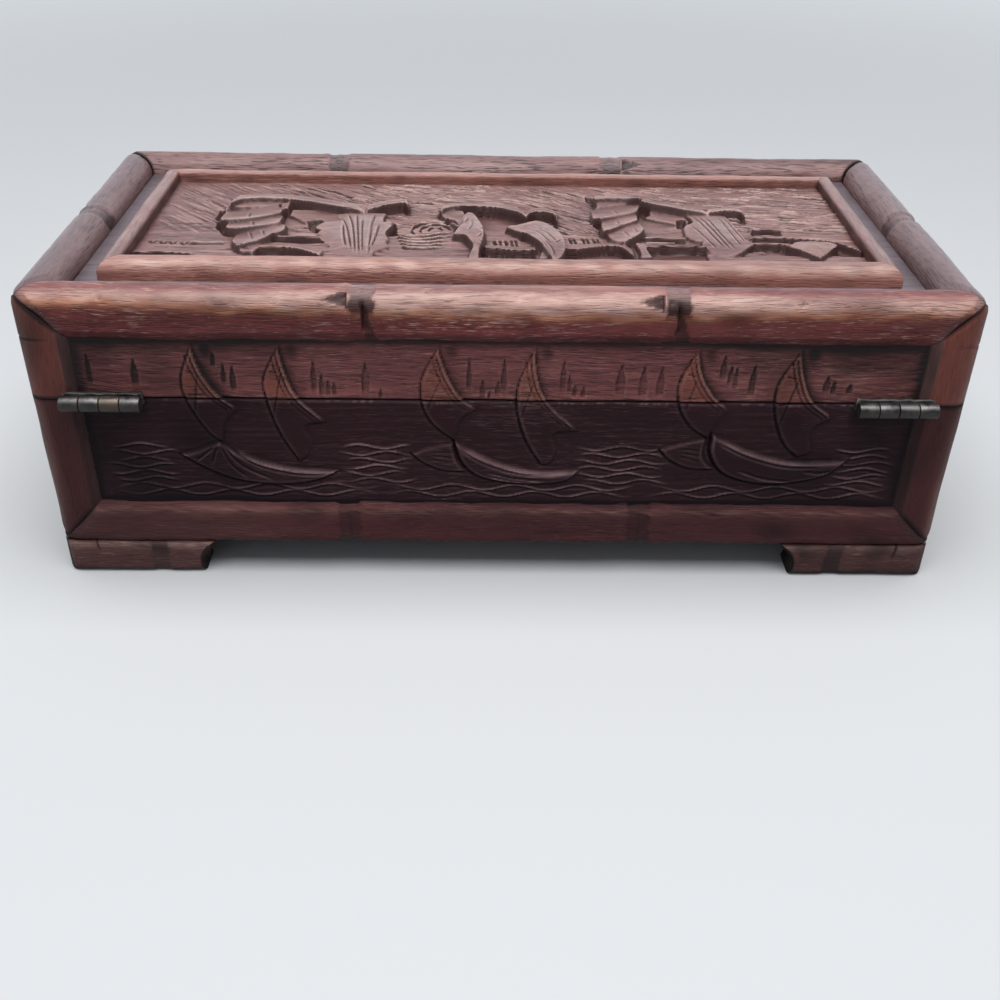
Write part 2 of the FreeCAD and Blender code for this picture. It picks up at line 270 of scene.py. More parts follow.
def bar(name, section, stops):
    """A straight bar along its first axis, with its section in the other two, cut across at the stops."""
    deselect()
    bpy.ops.mesh.primitive_circle_add(vertices=len(section), radius=1, fill_type="NGON")
    piece = added(name)
    move_points(piece, np.column_stack([np.full(len(section), stops[0]), section]))
    with editing(piece):
        bpy.ops.mesh.select_mode(type="EDGE")
        bpy.ops.mesh.extrude_region_move(TRANSFORM_OT_translate={"value": (stops[-1] - stops[0], 0, 0)})
        for stop in stops[1:-1]:
            bpy.ops.mesh.select_all(action="SELECT")
            bpy.ops.mesh.bisect(plane_co=(stop, 0, 0), plane_no=(1, 0, 0), threshold=1e-5)
        bpy.ops.mesh.select_all(action="SELECT")
        bpy.ops.mesh.normals_make_consistent(inside=False)
    return piece


def mitre(piece, point, normal):
    """Saw off what lies past a plane, and close the cut."""
    with editing(piece):
        bpy.ops.mesh.bisect(plane_co=point, plane_no=normal, use_fill=True, clear_outer=True, threshold=1e-5)


def divide(piece, stops, step):
    """Divide the bar's long edges evenly between its stops."""
    most_cuts = 60
    take(piece)
    for first, last in zip(stops, stops[1:]):
        cuts = round((last - first) / step) - 1
        while cuts > 0:
            ends = edge_ends(piece)
            run = np.abs(ends[:, 1] - ends[:, 0])
            middle = ends[:, :, 0].mean(1)
            long = (run[:, 0] > 1.2 * step) & (run[:, 1:].sum(1) < 1e-3) & (middle > first) & (middle < last)
            if not long.any():
                break
            parts = min(most_cuts, cuts)
            piece.data.vertices.foreach_set("select", np.zeros(len(piece.data.vertices), bool))
            piece.data.polygons.foreach_set("select", np.zeros(len(piece.data.polygons), bool))
            piece.data.edges.foreach_set("select", long)
            bpy.ops.object.mode_set(mode="EDIT")
            bpy.ops.mesh.subdivide(number_cuts=parts)
            bpy.ops.object.mode_set(mode="OBJECT")
            cuts = round((cuts + 1) / (parts + 1)) - 1


class Skin:
    """The points of a bar with, for each, its outward direction in the section and its way round it."""

    def __init__(self, piece, section):
        self.points = points_of(piece)
        self.t, self.p, self.q = self.points.T
        after = np.roll(section, -1, 0) - np.roll(section, 1, 0)
        normal = np.column_stack([after[:, 1], -after[:, 0]])
        normal /= np.linalg.norm(normal, axis=1, keepdims=True) + 1e-9
        area = np.sum(section[:, 0] * np.roll(section[:, 1], -1) - section[:, 1] * np.roll(section[:, 0], -1))
        if area < 0:
            normal = -normal
        lengths = np.linalg.norm(np.roll(section, -1, 0) - section, axis=1)
        way = np.concatenate([[0], np.cumsum(lengths)[:-1]])
        nearest = np.empty(len(self.points), int)
        batch = 4000
        for start in range(0, len(self.points), batch):
            some = self.points[start:start + batch, 1:]
            nearest[start:start + batch] = ((some[:, None] - section) ** 2).sum(2).argmin(1)
        self.normal = normal[nearest]
        self.way = way[nearest]

    def pushed(self, push):
        moved = self.points.copy()
        moved[:, 1:] -= self.normal * push[:, None]
        return moved


def round_corner(near_end, depth, drop, radius):
    """Pull points of a box corner onto a ball and its rounded edges."""
    gaps = np.stack([radius - near_end, radius - depth, radius - drop], 1)
    gaps = np.maximum(gaps, 0)
    reach = np.linalg.norm(gaps, axis=1)
    scale = np.where(reach > radius, radius / np.maximum(reach, 1e-9), 1)
    moved = radius - gaps * scale[:, None]
    return [np.where(gap > 0, new, old) for gap, new, old in zip(gaps.T, moved.T, (near_end, depth, drop))]


NODE_STOPS = (-12.4, -4.6, -4.0, -3.4, -0.4, 0.1, 1.0, 3.4, 4.2)


def node_marks(t, drop, nodes, facing, inner_side, top, uneven):
    """Bamboo nodes: a scraped band with two scoops, and a wedge cut that opens down the face."""
    push = np.zeros(len(t))
    grime = np.zeros(len(t))
    scraped = np.zeros(len(t))
    for place in nodes:
        off = t - place
        band = ease((3.9 + 0.6 * uneven - np.abs(off)) / 0.8)
        if top:
            band = band * (1 - 0.6 * ease((drop - 5) / 3))
        ridge = bell(off, 0.9) * (1 - facing)
        opening = 1.0 + 0.3 * np.clip(drop - 3, 0, 12) if top else 0.9
        cut = off + 0.35 * uneven
        wedge = np.where(cut < 0, unit(1 + cut / 0.5), unit(1 - cut / opening))
        wedge = wedge * ease((drop - 1.5) / 3.0) * ease((13.6 - drop) / 3.0) * ease(facing * 3)
        wedge = wedge * (1.0 if top else 0.2)
        lip = bell(np.abs(off) - 5.2, 1.0)
        # Painted shade in the wedge cut down the face, here and in the wedge share of dull below
        dim = ease((cut + 0.3) / 0.5) * ease((opening - cut) / 0.5) * ease((drop - 4) / 2) * ease(facing * 3) * top
        push += 0.5 * band + 1.25 * wedge - 0.25 * ridge * band - 0.1 * lip
        dull = band * (0.12 + (0.55 if top else 0.3) * facing + 0.4 * inner_side) + wedge * 0.75
        grime = most(grime, 0.72 * dim, dull)
        scraped = np.maximum(scraped, band * ease((5.5 - drop + 3 * inner_side) / 3))
    return push, grime, scraped


def bud_chip(t, way, crest, place, length, width):
    """The pointed facet cut beside a node, like the scar of a bamboo branch."""
    run = (place - 4.4 - t) / length
    inside = (run > 0) & (run < 1)
    half = width * np.clip(1 - run, 0.02, 1)
    across = (way - crest) / half
    facet = unit((1 - np.abs(across)) * half / 0.7)
    return np.where(inside, facet * unit(1.08 - run), 0)


def rail(name, side, top, nodes, chipped, chip_at, soiled, seed):
    """A bamboo-shaped rail with mitred ends along a wall, at the top or at the bottom of the box."""
    half = side.half
    outer = HEIGHT if top else FOOT_TOP
    into = -1 if top else 1
    inner = outer + into * FRAME
    inner_radius = 6.0 if top else SHARP
    section = rounded_section([(0, outer, EDGE if top else LOW_EDGE), (WALL, outer, inner_radius),
                               (WALL, inner, SHARP), (RECESS + SHARP, inner, SHARP),
                               (0, inner - into * SHOULDER, BEVEL_EDGE)], SECTION_STEP)
    stops = [-half] + [node + s for node in nodes for s in NODE_STOPS] + [half]
    piece = bar(name, section, stops)
    for end in (-1, 1):
        mitre(piece, (end * half, 0, outer), (end, 1, 0))
        mitre(piece, (end * half, 0, outer), (end, 0, into))
    divide(piece, stops, BAR_STEP)
    skin = Skin(piece, section)
    t, p, q = skin.t, skin.p, skin.q
    drop = (q - outer) * into
    near_end = half - np.abs(t)
    facing = unit(-skin.normal[:, 0])
    upward = unit(-skin.normal[:, 1] * into)
    inner_side = unit(skin.normal[:, 0]) * ease((8 - drop) / 2) if top else 0 * t
    seen = np.maximum(unit(1 - unit(skin.normal[:, 0]) * 2), ease(inner_side * 3))
    crest_way = skin.way[np.argmin((p - 1.6) ** 2 + (drop - 2.4) ** 2)]
    chip_way = skin.way[np.argmin((p - chip_at[0]) ** 2 + (drop - chip_at[1]) ** 2)]
    here = np.column_stack([t, skin.way * 1.5])
    push = (0.2 * wander(here, 60, seed) + 0.12 * wander(here, 17, seed + 1)) * ease(near_end / 20)
    push += 0.05 * wander(here, 5, seed + 2)
    marks, grime, scraped = node_marks(t, drop, nodes, facing, inner_side, top, wander(here, 5, seed + 8))
    push += marks * seen
    for node in chipped:
        chip = bud_chip(t, skin.way, chip_way, node, 8.0, 2.7) * seen
        push += 1.5 * chip
        grime = np.maximum(grime, 0.42 * ease(chip * 5) + 0.25 * chip)
        scraped = np.maximum(scraped, ease(chip * 5))
    post_joint = np.maximum(near_end - drop, 0) / math.sqrt(2)
    rail_joint = np.maximum(near_end - p, 0) / math.sqrt(2)
    joint = np.minimum(post_joint, rail_joint)
    groove = unit(1 - joint / 0.8)
    bevel = unit(1.15 - post_joint / 2.6) * ease(facing * 2) * ease((13 - drop) / 5)
    if side.grain == "y":
        bevel = np.maximum(bevel, unit(1.15 - rail_joint / 3.0) * ease(upward * 2) * ease((11 - p) / 4))
    groove = groove * ease((14.5 - np.maximum(drop, p)) / 4)
    push += (0.4 * groove + 0.7 * bevel) * seen
    dents = unit(wander(here, 6, seed + 3) - 0.75) * facing * upward * 4
    push += 0.5 * dents
    points = skin.pushed(push)
    depth_below = (points[:, 2] - outer) * into if top else np.full(len(points), EDGE)
    new_end, new_p, new_drop = round_corner(half - np.abs(points[:, 0]), points[:, 1], depth_below, EDGE)
    points[:, 0] = np.sign(points[:, 0]) * (half - new_end)
    points[:, 1] = new_p
    if top:
        points[:, 2] = outer + into * new_drop
    # Painted shade: the lower part of the face, and a dark line where the rail meets the panel
    under = ease((drop - FRAME + SHOULDER + 0.2) / 3.4) * seen
    edge_line = ease((drop - FRAME + 0.9) / 0.9) * seen
    cleaned = ease(bevel * 6)
    scraped = np.maximum(scraped, 0.6 * cleaned)
    grime = most(grime, unit(groove * 1.1), 0.2 * cleaned, under * (0.4 if top else 0.1), edge_line * 0.85)
    grime += np.clip(wander(here, 28, seed + 4) * 0.35, 0, 0.4) * facing + soiled
    if not top:
        grime += 0.22 * ease((t - 25) / 70)
    crest = bell(skin.way - crest_way, 2.6)
    streaks = wander(np.column_stack([t * 0.12, skin.way]), 0.9, seed + 9)
    # The pale band down from the crest is abrasion and a painted highlight where the lamp catches the rounded edge
    worn_down_to = np.interp(t, (-105, -65, -20, 40, 80), (4.1, 5.8, 6.7, 6.7, 5.7))
    fall = drop - worn_down_to - 0.8 * wander(here, 12, seed + 6) - 0.5 * streaks
    lit = ease(0.5 - fall / 1.2)
    warm = bell(fall + 0.2, 1.5) * facing if top else 0 * t
    handled = bell(t, 60)
    if top:
        grime += 0.22 * ease((np.abs(t) - 55) / 50) * upward * (side is sides["rear"])
        worn = unit(0.04 + 0.24 * handled + 2.0 * facing ** 2.3 + 0.5 * inner_side + 0.12 * streaks)
        wear = np.maximum(lit * worn, crest * (0.24 + 0.22 * streaks)) * (1 - grime)
    else:
        wear = bell(drop - FRAME + SHOULDER, 1.4) * (0.4 + 0.4 * streaks)
        wear = wear + 0.16 * ease((-t - 45) / 50)
    move_points(piece, side.place(points))
    paint(piece, grime=grime, wear=wear, scraped=scraped * seen, warm=warm, above=upward if top else 0 * upward)
    return piece


def post(name, side, top, soiled, seed):
    """A corner post at the right end of a wall, from the seam to its mitres."""
    outer = HEIGHT if top else FOOT_TOP
    into = -1 if top else 1
    seam = LID_FLOOR if top else BASE_TOP
    section = rounded_section([(0, 0, EDGE), (0, FRAME - SHOULDER, BEVEL_EDGE), (RECESS + SHARP, FRAME, SHARP),
                               (WALL, FRAME, SHARPER), (WALL, WALL, SHARPER), (FRAME, WALL, SHARPER),
                               (FRAME, RECESS + SHARP, SHARP), (FRAME - SHOULDER, 0, BEVEL_EDGE)], SECTION_STEP)
    creases = [82.8] if top else []
    crease_half = 0.7
    stops = sorted([seam, outer] + [c + s for c in creases for s in (-crease_half, 0, crease_half)])
    piece = bar(name, section, stops)
    mitre(piece, (outer, 0, 0), (-into, 1, 0))
    mitre(piece, (outer, 0, 0), (-into, 0, 1))
    divide(piece, stops, BAR_STEP)
    skin = Skin(piece, section)
    t, p, q = skin.t, skin.p, skin.q
    drop = (t - outer) * into
    here = np.column_stack([t * 0.5, skin.way])
    fade = ease(np.abs(t - seam) / 4)
    push = 0.14 * wander(here, 18, seed) * fade + 0.05 * wander(here, 5, seed + 1)
    joint = np.minimum(np.maximum(drop - p, 0), np.maximum(drop - q, 0)) / math.sqrt(2)
    groove = unit(1 - joint / 1.4)
    outside = (np.minimum(p, q) < 6).astype(float)
    groove = groove * ease((14.5 - np.maximum(p, q)) / 4)
    push += 0.5 * groove * outside
    grime = groove * 0.8
    for crease in creases:
        line = unit(1 - np.abs(t - crease) / crease_half) * outside * ease(1.2 - np.maximum(p, q) / 11)
        push += 0.3 * line
        grime = np.maximum(grime, line * 0.4)
    points = skin.pushed(push)
    if top:
        new_drop, new_p, new_q = round_corner((points[:, 0] - outer) * into, points[:, 1], points[:, 2], EDGE)
        points = np.column_stack([outer + into * new_drop, new_p, new_q])
    far_side = np.maximum(p, q)
    beside_panel = ease((far_side - FRAME + SHOULDER + 0.6) / 1.0) * outside
    # Painted shade along the edge beside the panel
    panel_line = beside_panel * 0.35 + 0.4 * ease((far_side - FRAME + 0.9) / 0.9) * outside
    seam_line = unit(1 - np.abs(t - seam) / 1.2) * outside
    grime = most(grime, panel_line, seam_line * 0.8)
    grime += np.clip(wander(here, 16, seed + 2) * 0.3, 0, 0.3) + soiled
    wear = bell(np.minimum(p, q) - 1.0, 2.0) * bell(far_side - 2.0, 3.0)
    wear *= 0.5 + 0.5 * wander(here, 12, seed + 3)
    local = np.column_stack([side.half - points[:, 2], points[:, 1], points[:, 0]])
    move_points(piece, side.place(local))
    paint(piece, grime=grime, wear=wear, scraped=beside_panel)
    return piece


def foot(name, side, end, length, soiled, seed):
    """One strip of a bracket foot at the left (-1) or right (1) end of a wall."""
    half = side.half
    section = rounded_section([(0, 0, 2.6), (0, FOOT_TOP, 1.4), (WALL, FOOT_TOP, SHARPER), (WALL, 0, 0.6)],
                              SECTION_STEP)
    node_from_tip = 18.0
    hollow_depth, hollow_radius, hollow_level, hollow_reach = 5.4, 8.2, 4.3, 11
    tip = half - length
    node = tip + node_from_tip
    stops = [tip] + [node + s for s in (-3.6, -2.8, 2.8, 3.6)] + [half]
    piece = bar(name, section, stops)
    mitre(piece, (half, 0, 0), (1, 1, 0))
    divide(piece, stops, FOOT_STEP)
    skin = Skin(piece, section)
    t, p, q = skin.t, skin.p, skin.q
    near_corner = half - t
    facing = unit(-skin.normal[:, 0])
    here = np.column_stack([t, skin.way])
    push = 0.18 * wander(here, 22, seed) + 0.06 * wander(here, 6, seed + 1)
    push[q < 1e-3] = 0
    band = ease((3.2 + 0.5 * wander(here, 7, seed + 4) - np.abs(t - node)) / 0.8)
    push += 0.4 * band * facing
    crack = unit(1 - np.abs(near_corner - 11 - 0.2 * (FOOT_TOP - q)) / 0.6) * ease((q - 6) / 4)
    push += 0.5 * crack * facing
    joint = np.maximum(near_corner - p, 0) / math.sqrt(2)
    groove = unit(1 - joint / 1.0)
    push += 0.35 * groove * facing
    points = skin.pushed(push)
    points[:, 2] = np.clip(points[:, 2], 0, FOOT_TOP)
    bow = hollow_radius - np.sqrt(np.maximum(0, hollow_radius ** 2 - (points[:, 2] - hollow_level) ** 2))
    hollow = np.maximum(hollow_depth - bow, 0)
    points[:, 0] += hollow * ease((tip + hollow_reach - points[:, 0]) / hollow_reach)
    new_end, new_p, _ = round_corner(half - points[:, 0], points[:, 1], np.full(len(points), EDGE), EDGE)
    points[:, 0] = half - new_end
    points[:, 1] = new_p
    grime = most(band * 0.3 * facing, crack * 0.9, groove * 0.8, ease((2.6 - q) / 2.6) * 0.75)
    # The hollowed end is darkened as painted shade
    end_face = (np.abs(t - tip) < 0.05) * 1.0
    grime += np.clip(wander(here, 14, seed + 2) * 0.3, 0, 0.3) + soiled + 0.6 * end_face
    wear = bell(q - 10.9, 1.3) * facing * (0.6 + 0.4 * wander(here, 9, seed + 3))
    if end < 0:
        points[:, 0] *= -1
    move_points(piece, side.place(points))
    if end < 0:
        face_out(piece)
    paint(piece, grime=grime, wear=wear, scraped=band * facing)
    return piece


# Carving in relief: forms and strokes on an even grid of points

def smooth(points, parts=7):
    """A smooth line through points."""
    points = np.array(points, float)
    if len(points) < 3:
        return points
    padded = np.vstack([2 * points[0] - points[1], points, 2 * points[-1] - points[-2]])
    line = []
    for a, b, c, d in zip(padded, padded[1:], padded[2:], padded[3:]):
        for k in range(parts):
            s = k / parts
            line.append(0.5 * (2 * b + (c - a) * s + (2 * a - 5 * b + 4 * c - d) * s * s
                               + (3 * b - 3 * c + d - a) * s ** 3))
    line.append(points[-1])
    return np.array(line)


def linked(lines):
    """The lines of an outline, each run on to where the next begins."""
    lines = list(lines)
    return [line + after[:1] for line, after in zip(lines, lines[1:] + lines[:1])]


def closed(lines):
    """An outline of smooth lines that meet at corners."""
    return np.vstack([smooth(line)[:-1] for line in lines])


class Carving:
    """An even grid of points with, for each, its rise; how dark it is, from stains and painted shade; its warm share,
    for warmer tone and painted sheen; how much it is lightened, by abrasion and painted highlight; and how little
    abraded it is.
    """

    def __init__(self, first, last, low, high, step, seed):
        self.columns = np.linspace(first, last, round((last - first) / step) + 1)
        self.rows = np.linspace(low, high, round((high - low) / step) + 1)
        self.across, self.up = np.meshgrid(self.columns, self.rows)
        self.step = step
        self.rise, self.dark, self.warm, self.rubbed, self.hushed = np.zeros((5, *self.across.shape))
        self.taken = np.zeros(self.across.shape, bool)
        self.chance = np.random.default_rng(seed)

    def window(self, points, margin):
        """The part of the grid round some points."""
        low = points.min(0) - margin
        high = points.max(0) + margin
        c0, c1 = np.searchsorted(self.columns, (low[0], high[0]))
        r0, r1 = np.searchsorted(self.rows, (low[1], high[1]))
        return slice(r0, r1), slice(c0, c1)

    def to_line(self, part, line):
        """Distance to a line, and how far along it the nearest place is."""
        x = self.across[part]
        z = self.up[part]
        best = np.full(x.shape, 1e9)
        along = np.zeros(x.shape)
        for n, (a, b) in enumerate(zip(line, line[1:])):
            run = b - a
            s = unit(((x - a[0]) * run[0] + (z - a[1]) * run[1]) / max(run @ run, 1e-9))
            gap = np.hypot(x - a[0] - s * run[0], z - a[1] - s * run[1])
            closer = gap < best
            best = np.where(closer, gap, best)
            along = np.where(closer, (n + s) / (len(line) - 1), along)
        return best, along

    def to_form(self, part, outline):
        """Distance to an outline, less than nought inside it."""
        gap, _ = self.to_line(part, np.vstack([outline, outline[:1]]))
        x = self.across[part]
        z = self.up[part]
        inside = np.zeros(x.shape, bool)
        for a, b in zip(outline, np.roll(outline, -1, 0)):
            crosses = (a[1] > z) != (b[1] > z)
            rise = b[1] - a[1] if b[1] != a[1] else 1e-9
            inside ^= crosses & (x < (b[0] - a[0]) * (z - a[1]) / rise + a[0])
        return np.where(inside, -gap, gap)

    def darken(self, part, values):
        self.dark[part] = np.maximum(self.dark[part], values)

    def rub(self, part, values):
        self.rubbed[part] = np.maximum(self.rubbed[part], values)

    def form(self, outline, level, edge, cut, width, stain):
        """Raise a form to a level, with a stop cut round it; gives its part of the grid and the distance to it."""
        part = self.window(outline, 4)
        if self.rise[part].size == 0:
            return None
        gap = self.to_form(part, outline)
        slope_z, slope_x = np.gradient(gap, self.step)
        # The stop cut is deeper and darker on the left and lower side of a form; the darkening is painted shade where
        # the undercut shadow falls
        side = np.clip(0.4 - 0.55 * slope_x - 0.45 * slope_z, 0.12, 1)
        stop = np.where(gap > -0.1, bell(np.maximum(gap, 0), width) * side, 0)
        self.rise[part] -= cut * stop
        self.darken(part, stop * stain)
        share = ease(-gap / edge)
        ground = self.rise[part]
        lifted = np.maximum(ground, ground * (1 - share) + level * share)
        self.rise[part] = np.where(gap < 0, lifted, ground)
        self.dark[part] = np.where(gap < -0.4, self.dark[part] * 0.35, self.dark[part])
        self.taken[part] |= gap < 0.4
        return part, gap

    def lift(self, outline, level, wall, tilt=0.0, raise_only=False, start=1.0):
        """Bring what lies inside an outline to a level, with a wall that falls away outside it."""
        part = self.window(outline, max(MARGIN, wall + 0.5))
        share = unit(start - self.to_form(part, outline) / wall)
        shaped = self.rise[part] * (1 - share) + (level + tilt) * share
        if raise_only:
            share = share * (shaped > self.rise[part])
            shaped = np.maximum(self.rise[part], shaped)
        self.rise[part] = shaped
        self.dark[part] *= 1 - 0.85 * share
        self.rubbed[part] *= 1 - 0.85 * share

    def stroke(self, line, depth, width, stain=0.6, fade=True, free=False):
        """A V-shaped cut (or a ridge, when the depth is less than nought) along a line."""
        line = smooth(line)
        part = self.window(line, width + 1)
        if self.rise[part].size == 0:
            return
        gap, along = self.to_line(part, line)
        shape = unit(1 - gap / width)
        if fade:
            shape = shape * unit(np.minimum(along, 1 - along) * 6 + 0.15)
        if free:
            shape = shape * ~self.taken[part]
        self.rise[part] -= depth * shape
        if depth > 0:
            self.darken(part, shape * stain)
        else:
            self.rub(part, shape * stain)

    def wave(self, line):
        """A wave crest: a thin ridge with a cut below it."""
        self.stroke(line, -0.38, 0.55, 1.0, free=True)
        self.stroke([(x, z - 0.65) for x, z in line], 0.34, 0.6, 0.45, free=True)

    def blade(self, x, top, bottom, width):
        """A pointed upright gouge, like a reed in the distance."""
        part = self.window(np.array([(x - width, bottom - 1.5), (x + width, top)]), 1)
        if self.rise[part].size == 0:
            return
        across = self.across[part] - x
        up = self.up[part]
        share = (top - up) / (top - bottom)
        half = 0.52 * width * np.clip(share / 0.5, 0.03, 1) ** 0.8 * (1 - 0.25 * unit(share - 0.6))
        mark = unit((half - np.abs(across + 0.12 * width * share)) / 0.4 + 0.5)
        mark = mark * (share > 0) * ease((1.1 - share) / 0.35)
        mark = np.where(self.taken[part], 0, mark)
        self.rise[part] -= 0.45 * mark
        # Painted shade darker on the reed's left side, and a painted highlight along its right edge
        self.darken(part, mark * (0.36 - 0.14 * np.clip(across / half, -1, 1)))
        lit = ease(1 - np.abs(across - half) / 0.4) * (share > 0.1) * (share < 1)
        self.rub(part, np.where(self.taken[part], 0, 0.3 * lit))

    def blurred(self, values, size):
        """Values evened out over a square of the given half size."""
        reach = max(1, round(size / self.step))
        for axis in (0, 1):
            padded = np.pad(values, [(reach + 1, reach) if a == axis else (0, 0) for a in (0, 1)], mode="edge")
            total = np.cumsum(padded, axis)
            high = [slice(None)] * 2
            low = [slice(None)] * 2
            high[axis] = slice(2 * reach + 1, None)
            low[axis] = slice(0, -(2 * reach + 1))
            values = (total[tuple(high)] - total[tuple(low)]) / (2 * reach + 1)
        return values

    def shut_in(self):
        """How far what stands round each point shuts out the light."""
        rows, columns = self.rise.shape
        farthest = 5.0
        reach = round(farthest / self.step)
        padded = np.pad(self.rise, reach, mode="edge")
        total = np.zeros(self.rise.shape)
        for angle in np.arange(8) * math.pi / 4:
            steepest = np.zeros(self.rise.shape)
            for distance in (0.12, 0.25, 0.5, 1.0):
                down, right = (round(distance * reach * turn(angle)) for turn in (math.sin, math.cos))
                there = padded[reach + down:reach + down + rows, reach + right:reach + right + columns]
                steepest = np.maximum(steepest, (there - self.rise) / (math.hypot(down, right) * self.step))
            total += steepest / np.sqrt(1 + steepest ** 2)
        return total / 8

    def sheet(self, name, place, back, dirt=(0.5, 0.35, 0.1), above=0.0):
        """A board with the carving on its face: place sets grid points, back sets its rear edge."""
        deselect()
        across, up = len(self.columns) - 1, len(self.rows) - 1
        bpy.ops.mesh.primitive_grid_add(x_subdivisions=across, y_subdivisions=up, size=2)
        piece = added(name)
        count = len(piece.data.vertices)
        move_points(piece, place(self.across.ravel(), self.up.ravel(), self.rise.ravel()))
        with editing(piece):
            bpy.ops.mesh.select_mode(type="EDGE")
            bpy.ops.mesh.region_to_loop()
            for _ in ("rim", "back"):
                bpy.ops.mesh.extrude_region_move(TRANSFORM_OT_translate={"value": (0, 0, 0)})
            bpy.ops.mesh.edge_face_add()
        for facet in piece.data.polygons[across * up:]:
            facet.material_index = int(min(facet.vertices) >= count)
        points = points_of(piece)
        rim = slice(count, (len(points) + count) // 2)
        rim_share = 0.07
        points[rim] += rim_share * (back(points[rim]) - points[rim])
        points[rim.stop:] = back(points[rim.stop:])
        move_points(piece, points)
        slope_up, slope_across = np.gradient(self.rise, self.step)
        steep = ease((np.hypot(slope_up, slope_across) - 0.8) / 1.4)
        hollow = self.blurred(self.rise, 0.9) - self.rise
        spare = len(points) - count
        # Dark paint: the grid's stains, soiling in hollows, and painted shade where the ground is shut in and on
        # steep walls; lighter paint: abrasion on raised edges with painted highlights
        grime = unit(self.dark + dirt[0] * np.maximum(hollow, 0)
                        + dirt[1] * ease((self.shut_in() - 0.12) / 0.5) + dirt[2] * steep)
        wear = unit(1.3 * np.maximum(-hollow, 0) + self.rubbed) * (1 - 0.85 * self.hushed)
        level = np.full(grime.shape, above)
        layers = {"grime": (grime, 0.3), "wear": (wear, 0), "warm": (self.warm, 0), "above": (level, above)}
        paint(piece, **{layer: np.append(values, np.full(spare, rest)) for layer, (values, rest) in layers.items()})
        return piece


# The junks on the walls, in millimetres along the wall and up from the table. Each has two sails (luff, foot and
# leech) with a spike at the boom, a hull, and one or no stern leaf. Each line of an outline ends where the next
# begins.
JUNKS = [
    {"middle": -73.4, "sails": [
        ([(-90.3, 80.6), (-94.2, 70.5), (-93.4, 62.5), (-88.6, 52.6)], [(-84.2, 48.3), (-83.5, 52), (-82.2, 56.4)],
         [(-78.4, 60.3), (-84.4, 65.4), (-88.2, 72.5)]),
        ([(-65, 80.6), (-70, 70.5), (-69.4, 61.5), (-66.5, 51.5)], [(-61.7, 42), (-59, 44), (-57, 49), (-58.6, 54.6)],
         [(-52.2, 55.8), (-60.6, 64.5), (-63.6, 73)])],
     "hull": [[(-98, 44.4), (-92, 46.4)], [(-85.3, 49.2), (-80, 45.6), (-73, 42.2), (-62, 39.6)],
              [(-49, 38.9), (-57, 35.2), (-68, 33.7), (-80, 35), (-89, 38.6)]],
     "planks": [[(-85, 48), (-82.5, 41.5), (-77.8, 36.8)], [(-84.4, 48), (-79, 41), (-70, 36)],
                [(-84, 48.2), (-75, 41.4), (-64, 38.2), (-53, 37.8)], [(-86.3, 47.4), (-88.4, 41.6)],
                [(-87.6, 47.2), (-92.6, 43)]],
     "leaf": None},
    {"middle": -1.25, "sails": [
        ([(-18.6, 80.6), (-23.4, 71), (-23.6, 62.5), (-20.4, 55.4)], [(-13.6, 49.4), (-13.2, 53), (-11.6, 57.6)],
         [(-7, 60.6), (-12, 64.6), (-15.8, 71.6)]),
        ([(9.6, 80.6), (5.2, 69.5), (4.8, 61), (7.5, 50.5)], [(12.5, 41.4), (15.6, 42), (17.4, 46.5), (16.4, 52.4)],
         [(23.8, 53.5), (14.8, 62.2), (11, 70)])],
     "hull": [[(-14.4, 50.2), (-7, 45.2), (4, 40.6), (14, 39)],
              [(25.2, 39.9), (20, 35.4), (8, 34.4), (-5, 36.4), (-11.5, 41.6)]],
     "planks": [[(-12.6, 47.4), (-5, 42.3), (6, 38.6), (18, 38)], [(-4, 39.2), (4, 37), (14, 36.2)],
                [(-3.2, 37.7), (4, 36), (10, 35.5)]],
     "leaf": [[(-27.6, 45.2), (-21, 48)], [(-14.6, 49.2), (-13.4, 43.6)], [(-10.6, 38.6), (-17, 39), (-23, 41.4)]]},
    {"middle": 77.5, "sails": [
        ([(57.4, 80.6), (53, 71), (53.4, 62.5), (57.4, 55.4)], [(63.6, 51), (64, 53.6), (65.4, 57)],
         [(68.6, 61.4), (63.6, 65.6), (59.4, 72.5)]),
        ([(87.4, 80.6), (82.3, 70), (82.6, 60), (86.4, 50)], [(91.4, 44.8), (95.4, 47), (94.4, 54.4)],
         [(100.4, 58.8), (93, 64.8), (89.4, 72.5)])],
     "hull": [[(64.4, 53.2), (74, 48), (84, 44.6), (94, 43.4)],
              [(107.8, 44.2), (101, 38.2), (90, 35.4), (79, 35.4), (69, 39), (64.4, 46)]],
     "planks": [[(67, 50), (76, 45.4), (88, 42), (101, 41.8)], [(73.6, 40.6), (82, 37.6), (91, 36.6)],
                [(94, 40.4), (99, 39.8), (103, 40.6)]],
     "leaf": [[(48.6, 47.4), (56, 50)], [(63, 51.6), (62.6, 45)], [(66.4, 40), (58, 40.6), (52, 43.6)]]},
]
